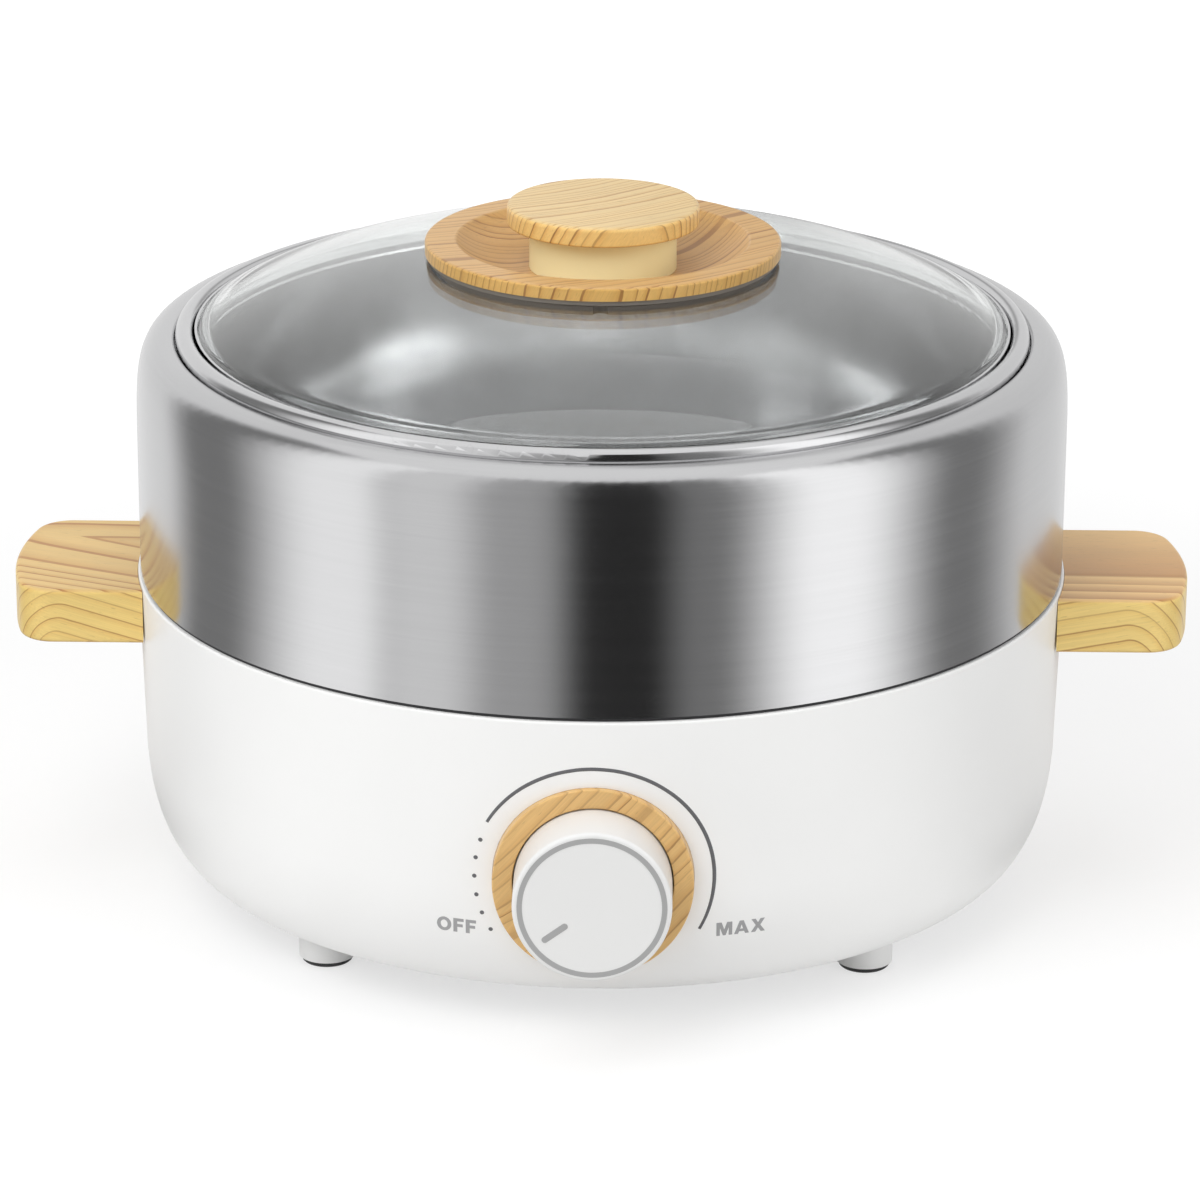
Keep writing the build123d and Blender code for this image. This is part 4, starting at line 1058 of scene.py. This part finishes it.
@dataclass
class GlassLid(SubAssembly):
    """The domed glass in its steel band, with the timber dish and knob on top."""

    finishes = {
        "lid_band": POLISHED_BAND, "lid_dish": DISH_TIMBER, "dish_gasket": GREY_SILICONE,
        "dish_clamp": BROWN_NYLON, "lid_stem": IVORY_STEM, "lid_disc": DISC_TIMBER,
        "lid_bolt": ZINC_SCREW,
    }
    segments: int = 240
    curve_steps: int = 30
    axle: float = 1.0  # radius of the circle that the section is swept along
    bend_steps: int = 6
    hole_radius: float = 46.2
    wall: float = 4.0
    edge_height: float = 6.2  # of the rim's upright face
    edge_bend: float = 2.6
    foot_bend: float = 1.0
    middle_pull: Point = (50.0, 1.7)  # in from the edge and down from the crown
    shoulder_pull: Point = (18.0, 10.2)  # in from the edge and up from it
    inner_lean: Triple = (0.4, 0.9, 0.6)  # keeps the inside at an even wall

    def make(self) -> list[Piece]:
        """Turn the glass dome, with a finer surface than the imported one."""
        low, high = (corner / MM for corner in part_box("lid_glass"))
        section = self.section(radius=high.x, foot_z=low.z, crown_z=high.z)
        outline = bpy.data.meshes.new("glass_section")
        edges = [(i, (i + 1) % len(section)) for i in range(len(section))]
        outline.from_pydata([((x - self.axle) * MM, -z * MM, 0) for x, z in section], edges, [])
        sizes = {"Segments": self.segments, "Axle": self.axle * MM}
        tree = ShapeTree("turned_dome", {**sizes, "Finish": CLEAR_GLASS.material()})
        profile = tree.add("GeometryNodeMeshToCurve", {"Mesh": tree["Start"]})
        circle = {"Resolution": tree["Segments"], "Radius": tree["Axle"]}
        axle = tree.add("GeometryNodeCurvePrimitiveCircle", circle)
        turned = tree.add("GeometryNodeCurveToMesh", {"Curve": axle, "Profile Curve": profile})
        glass = tree.shape(turned, "glass_dome", outline)
        glass.data.shade_smooth()
        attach(glass, "lid")
        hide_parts("lid_glass")
        return [glass]

    def section(self, radius: float, foot_z: float, crown_z: float) -> list[Point]:
        """Draw the glass's closed section.

        Args:
            radius: The rim's outer radius, in millimetres.
            foot_z: The height of the rim's foot, in millimetres.
            crown_z: The height of the dome at its hole, in millimetres.

        Returns:
            Radius and height of each corner, from the hole over the outer face and back inside.
        """
        edge_z = foot_z + self.edge_height
        lean_in, lean_down, edge_down = self.inner_lean
        outer, inner = (
            smooth_line((
                (self.hole_radius, crown_z - depth),
                (radius - self.middle_pull[0], crown_z - self.middle_pull[1] - depth),
                (
                    radius - self.shoulder_pull[0] - lean_in * depth,
                    edge_z + self.shoulder_pull[1] - lean_down * depth,
                ),
                (radius - depth, edge_z - edge_down * depth),
            ), self.curve_steps)
            for depth in (0.0, self.wall)
        )
        beside = [p for p in outer if math.dist(p, outer[-1]) > self.edge_bend]
        bend = smooth_line((beside[-1], outer[-1], (radius, edge_z - self.edge_bend)), self.bend_steps)
        heel = ((radius, foot_z + self.foot_bend), (radius, foot_z), (radius - self.foot_bend, foot_z))
        foot = smooth_line(heel, self.bend_steps)
        return beside + bend[1:] + foot + [(radius - self.wall, foot_z)] + inner[::-1]


class Ink(Enum):
    """The two inks of the dial's print."""

    GREY = GREY_INK
    DARK = DARK_INK


@dataclass(frozen=True)
class BlockLetters:
    """Upright bold capitals, one unit high, drawn as filled outlines."""

    gap: float = 0.13
    outlines: ClassVar[dict[str, tuple[tuple[Point, ...], ...]]] = {
        "F": ((
            (0.0, 0.0), (0.25, 0.0), (0.25, 0.38), (0.6, 0.38), (0.6, 0.59), (0.25, 0.59),
            (0.25, 0.78), (0.66, 0.78), (0.66, 1.0), (0.0, 1.0),
        ),),
        "M": ((
            (0.0, 0.0), (0.23, 0.0), (0.23, 0.6), (0.43, 0.0), (0.61, 0.0), (0.81, 0.6),
            (0.81, 0.0), (1.04, 0.0), (1.04, 1.0), (0.7, 1.0), (0.52, 0.45), (0.34, 1.0), (0.0, 1.0),
        ),),
        "A": (
            (
                (0.0, 0.0), (0.26, 0.0), (0.32, 0.18), (0.66, 0.18), (0.72, 0.0), (0.98, 0.0),
                (0.62, 1.0), (0.36, 1.0),
            ),
            ((0.39, 0.37), (0.59, 0.37), (0.49, 0.7)),
        ),
        "X": ((
            (0.0, 0.0), (0.28, 0.0), (0.46, 0.31), (0.64, 0.0), (0.92, 0.0), (0.61, 0.51),
            (0.9, 1.0), (0.62, 1.0), (0.46, 0.71), (0.3, 1.0), (0.02, 1.0), (0.31, 0.51),
        ),),
    }
    round_size: Point = (0.46, 0.51)  # half width and half height of the letter O
    round_hole: Point = (0.22, 0.29)
    round_steps: int = 40

    def letter(self, character: str) -> tuple[tuple[Point, ...], ...]:
        """Draw one letter.

        Args:
            character: The letter.

        Returns:
            Its outlines, its holes after its outer line.
        """
        if character != "O":
            return self.outlines[character]
        turns = [math.tau * i / self.round_steps for i in range(self.round_steps)]
        return tuple(
            tuple((self.round_size[0] + w * math.cos(a), 0.5 + h * math.sin(a)) for a in turns)
            for w, h in (self.round_size, self.round_hole)
        )

    def word(self, text: str, middle: Point, width: float) -> Piece:
        """Set a word as a flat filled shape.

        Args:
            text: The word.
            middle: Where its middle lies in the XY plane, in millimetres.
            width: Its width, in millimetres.

        Returns:
            The curve object.
        """
        shapes, pen = [], 0.0
        for character in text:
            outlines = self.letter(character)
            shapes += [[(x + pen, y) for x, y in outline] for outline in outlines]
            pen = max(x for outline in shapes[-len(outlines) :] for x, _ in outline) + self.gap
        length = pen - self.gap
        scale = width / length
        curve = bpy.data.curves.new(text, "CURVE")
        curve.dimensions, curve.fill_mode = "2D", "BOTH"
        for shape in shapes:
            spline = curve.splines.new("POLY")
            spline.points.add(len(shape) - 1)
            spline.use_cyclic_u = True
            for point, (x, y) in zip(spline.points, shape):
                place = (middle[0] + (x - length / 2) * scale, middle[1] + (y - 0.5) * scale)
                point.co = (place[0] * MM, place[1] * MM, 0.0, 1.0)
        return in_scene(f"{text}_outline", curve)


@dataclass
class HeatControl(SubAssembly):
    """The dial with its timber ring and thermostat, and the marks printed round it."""

    finishes = {
        "knob_trim_ring": TRIM_TIMBER, "knob_cap": WHITE_CAP, "knob_ring": GREY_INLAY,
        "knob_pointer": GREY_INLAY, "knob_shaft": NICKEL_PIN, "thermostat": BLACK_THERMOSET,
        "thermostat_nut": ZINC_SCREW,
    }
    centre_z: float = 54.5
    film: float = 0.05
    film_lift: float = 0.6  # how far the film stands outside the wall, as the modifier counts it
    print_length: float = 0.6  # longest edge of the print, so that it can follow the wall
    arc_radius: float = 36.8
    arc_start: float = 151.3
    arc_sweep: float = 179.7
    arc_steps: int = 121
    arc_width: float = 1.15
    arc_tip: float = 0.8  # width at its ends, as a share
    arc_taper: float = 0.16  # share of its length over which an end widens
    dot_radius: float = 36.2
    dot_size: float = 0.68
    dot_steps: int = 24
    dot_first: float = 161.3
    dot_step: float = 9.8
    dot_count: int = 6
    letters: BlockLetters = BlockLetters()
    words: Sequence[tuple[str, Point, float]] = (("OFF", (-41.8, 36.3), 12.1), ("MAX", (45.1, 36.2), 14.9))

    def make(self) -> list[Piece]:
        """Print the arc, the dots and the two words on the housing's wall."""
        pieces = [self.lay(self.arc(), "dial_arc", Ink.DARK), self.lay(self.dots(), "dial_dots", Ink.DARK)]
        for text, middle, width in self.words:
            name = f"dial_{text.lower()}"
            outline = keep_as_mesh(self.letters.word(text, middle, width), name)
            pieces.append(self.lay(outline, name, Ink.GREY))
        return pieces

    def arc(self) -> Piece:
        """Draw the arc as a flat stroke whose ends taper."""
        tree = ShapeTree("tapered_arc", {
            "Radius": self.arc_radius * MM,
            "Start Angle": math.radians(self.arc_start),
            "Sweep": -math.radians(self.arc_sweep),
            "Half Width": self.arc_width * MM / 2,
            "Tip": self.arc_tip,
            "Centre Z": self.centre_z * MM,
            "Finish": DARK_INK.material(),
        })
        bow = {"Radius": tree["Radius"], "Start Angle": tree["Start Angle"], "Sweep Angle": tree["Sweep"]}
        arc = tree.add("GeometryNodeCurveArc", {"Resolution": self.arc_steps, **bow})
        along = tree.add("GeometryNodeSplineParameter")
        far = tree.add("Math", (1.0, along), "SUBTRACT")
        nearer = tree.add("Math", (along, far), "MINIMUM")
        bulge = tree.add("MapRange", (nearer, 0.0, self.arc_taper, tree["Tip"], 1.0))
        minus = tree.add("Math", (tree["Half Width"], -1.0), "MULTIPLY")
        left, right = (tree.add("CombineXYZ", {"X": side}) for side in (minus, tree["Half Width"]))
        nib = tree.add("GeometryNodeCurvePrimitiveLine", {"Start": left, "End": right})
        stroke = tree.add("GeometryNodeCurveToMesh", {"Curve": arc, "Profile Curve": nib, "Scale": bulge})
        lift = tree.add("CombineXYZ", {"Y": tree["Centre Z"]})
        raised = tree.add("GeometryNodeTransform", {"Geometry": stroke, "Translation": lift})
        return tree.shape(raised, "dial_arc")

    def dots(self) -> Piece:
        """Set the heat dots out along their arc."""
        tree = ShapeTree("heat_dots", {
            "Count": self.dot_count,
            "Radius": self.dot_radius * MM,
            "First": math.radians(self.dot_first),
            "Step": math.radians(self.dot_step),
            "Dot Size": self.dot_size * MM,
            "Centre Z": self.centre_z * MM,
            "Finish": DARK_INK.material(),
        })
        points = tree.add("GeometryNodePoints", {"Count": tree["Count"]})
        turn = (tree.add("GeometryNodeInputIndex"), tree["Step"], tree["First"])
        angle = tree.add("Math", turn, "MULTIPLY_ADD")
        sides = (tree.add("Math", (angle,), part) for part in ("COSINE", "SINE"))
        across, up = (tree.add("Math", (side, tree["Radius"]), "MULTIPLY") for side in sides)
        raised = tree.add("Math", (up, tree["Centre Z"]), "ADD")
        spot = tree.add("CombineXYZ", {"X": across, "Y": raised})
        placed = tree.add("GeometryNodeSetPosition", {"Geometry": points, "Position": spot})
        size = {"Vertices": self.dot_steps, "Radius": tree["Dot Size"]}
        disc = tree.add("GeometryNodeMeshCircle", size, fill_type="NGON")
        dots = tree.add("GeometryNodeInstanceOnPoints", {"Points": placed, "Instance": disc})
        return tree.shape(dots, "dial_dots")

    def split_long_edges(self, data: bpy.types.Mesh) -> None:
        """Split a flat print until it is fine enough to follow the wall.

        Args:
            data: The print's mesh.
        """
        flat = bmesh.new()
        flat.from_mesh(data)
        while edges := [edge for edge in flat.edges if edge.calc_length() > self.print_length * MM]:
            bmesh.ops.subdivide_edges(flat, edges=edges, cuts=1)
            bmesh.ops.triangulate(flat, faces=flat.faces)
        flat.to_mesh(data)
        flat.free()

    def lay(self, piece: Piece, name: str, ink: Ink) -> Piece:
        """Lay a flat print on the housing's wall as a thin film.

        Args:
            piece: The flat print in the XY plane, Y up.
            name: The finished piece's name.
            ink: Its ink.

        Returns:
            The finished piece.
        """
        bpy.context.view_layer.update()
        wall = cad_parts["base_housing"].evaluated_get(bpy.context.evaluated_depsgraph_get())
        piece.data.materials.clear()
        piece.data.materials.append(ink.value.material())
        self.split_long_edges(piece.data)
        for vertex in piece.data.vertices:
            before = Vector((vertex.co.x, 2 * CAD_BOX[0].y, vertex.co.y))
            found, spot, _, _ = wall.ray_cast(before, Vector((0, 1, 0)))
            vertex.co = spot if found else before
        film = piece.modifiers.new("film", "SOLIDIFY")
        film.thickness, film.offset = self.film * MM, self.film_lift
        laid = keep_as_mesh(piece, name)
        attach(laid, "base")
        return laid


def main() -> None:
    """Build the studio and each sub-assembly in order."""
    logging.basicConfig(level=logging.INFO)
    Studio().build()
    groups = (BaseUnit, SteelBand, HeaterBay, CookingPot, GlassLid, SideHandles, HeatControl, PowerInlet)
    for group in groups:
        added = group().build()
        LOG.info("built %s, with %d pieces of its own", group.__name__, len(added))


if __name__ == "__main__":
    main()
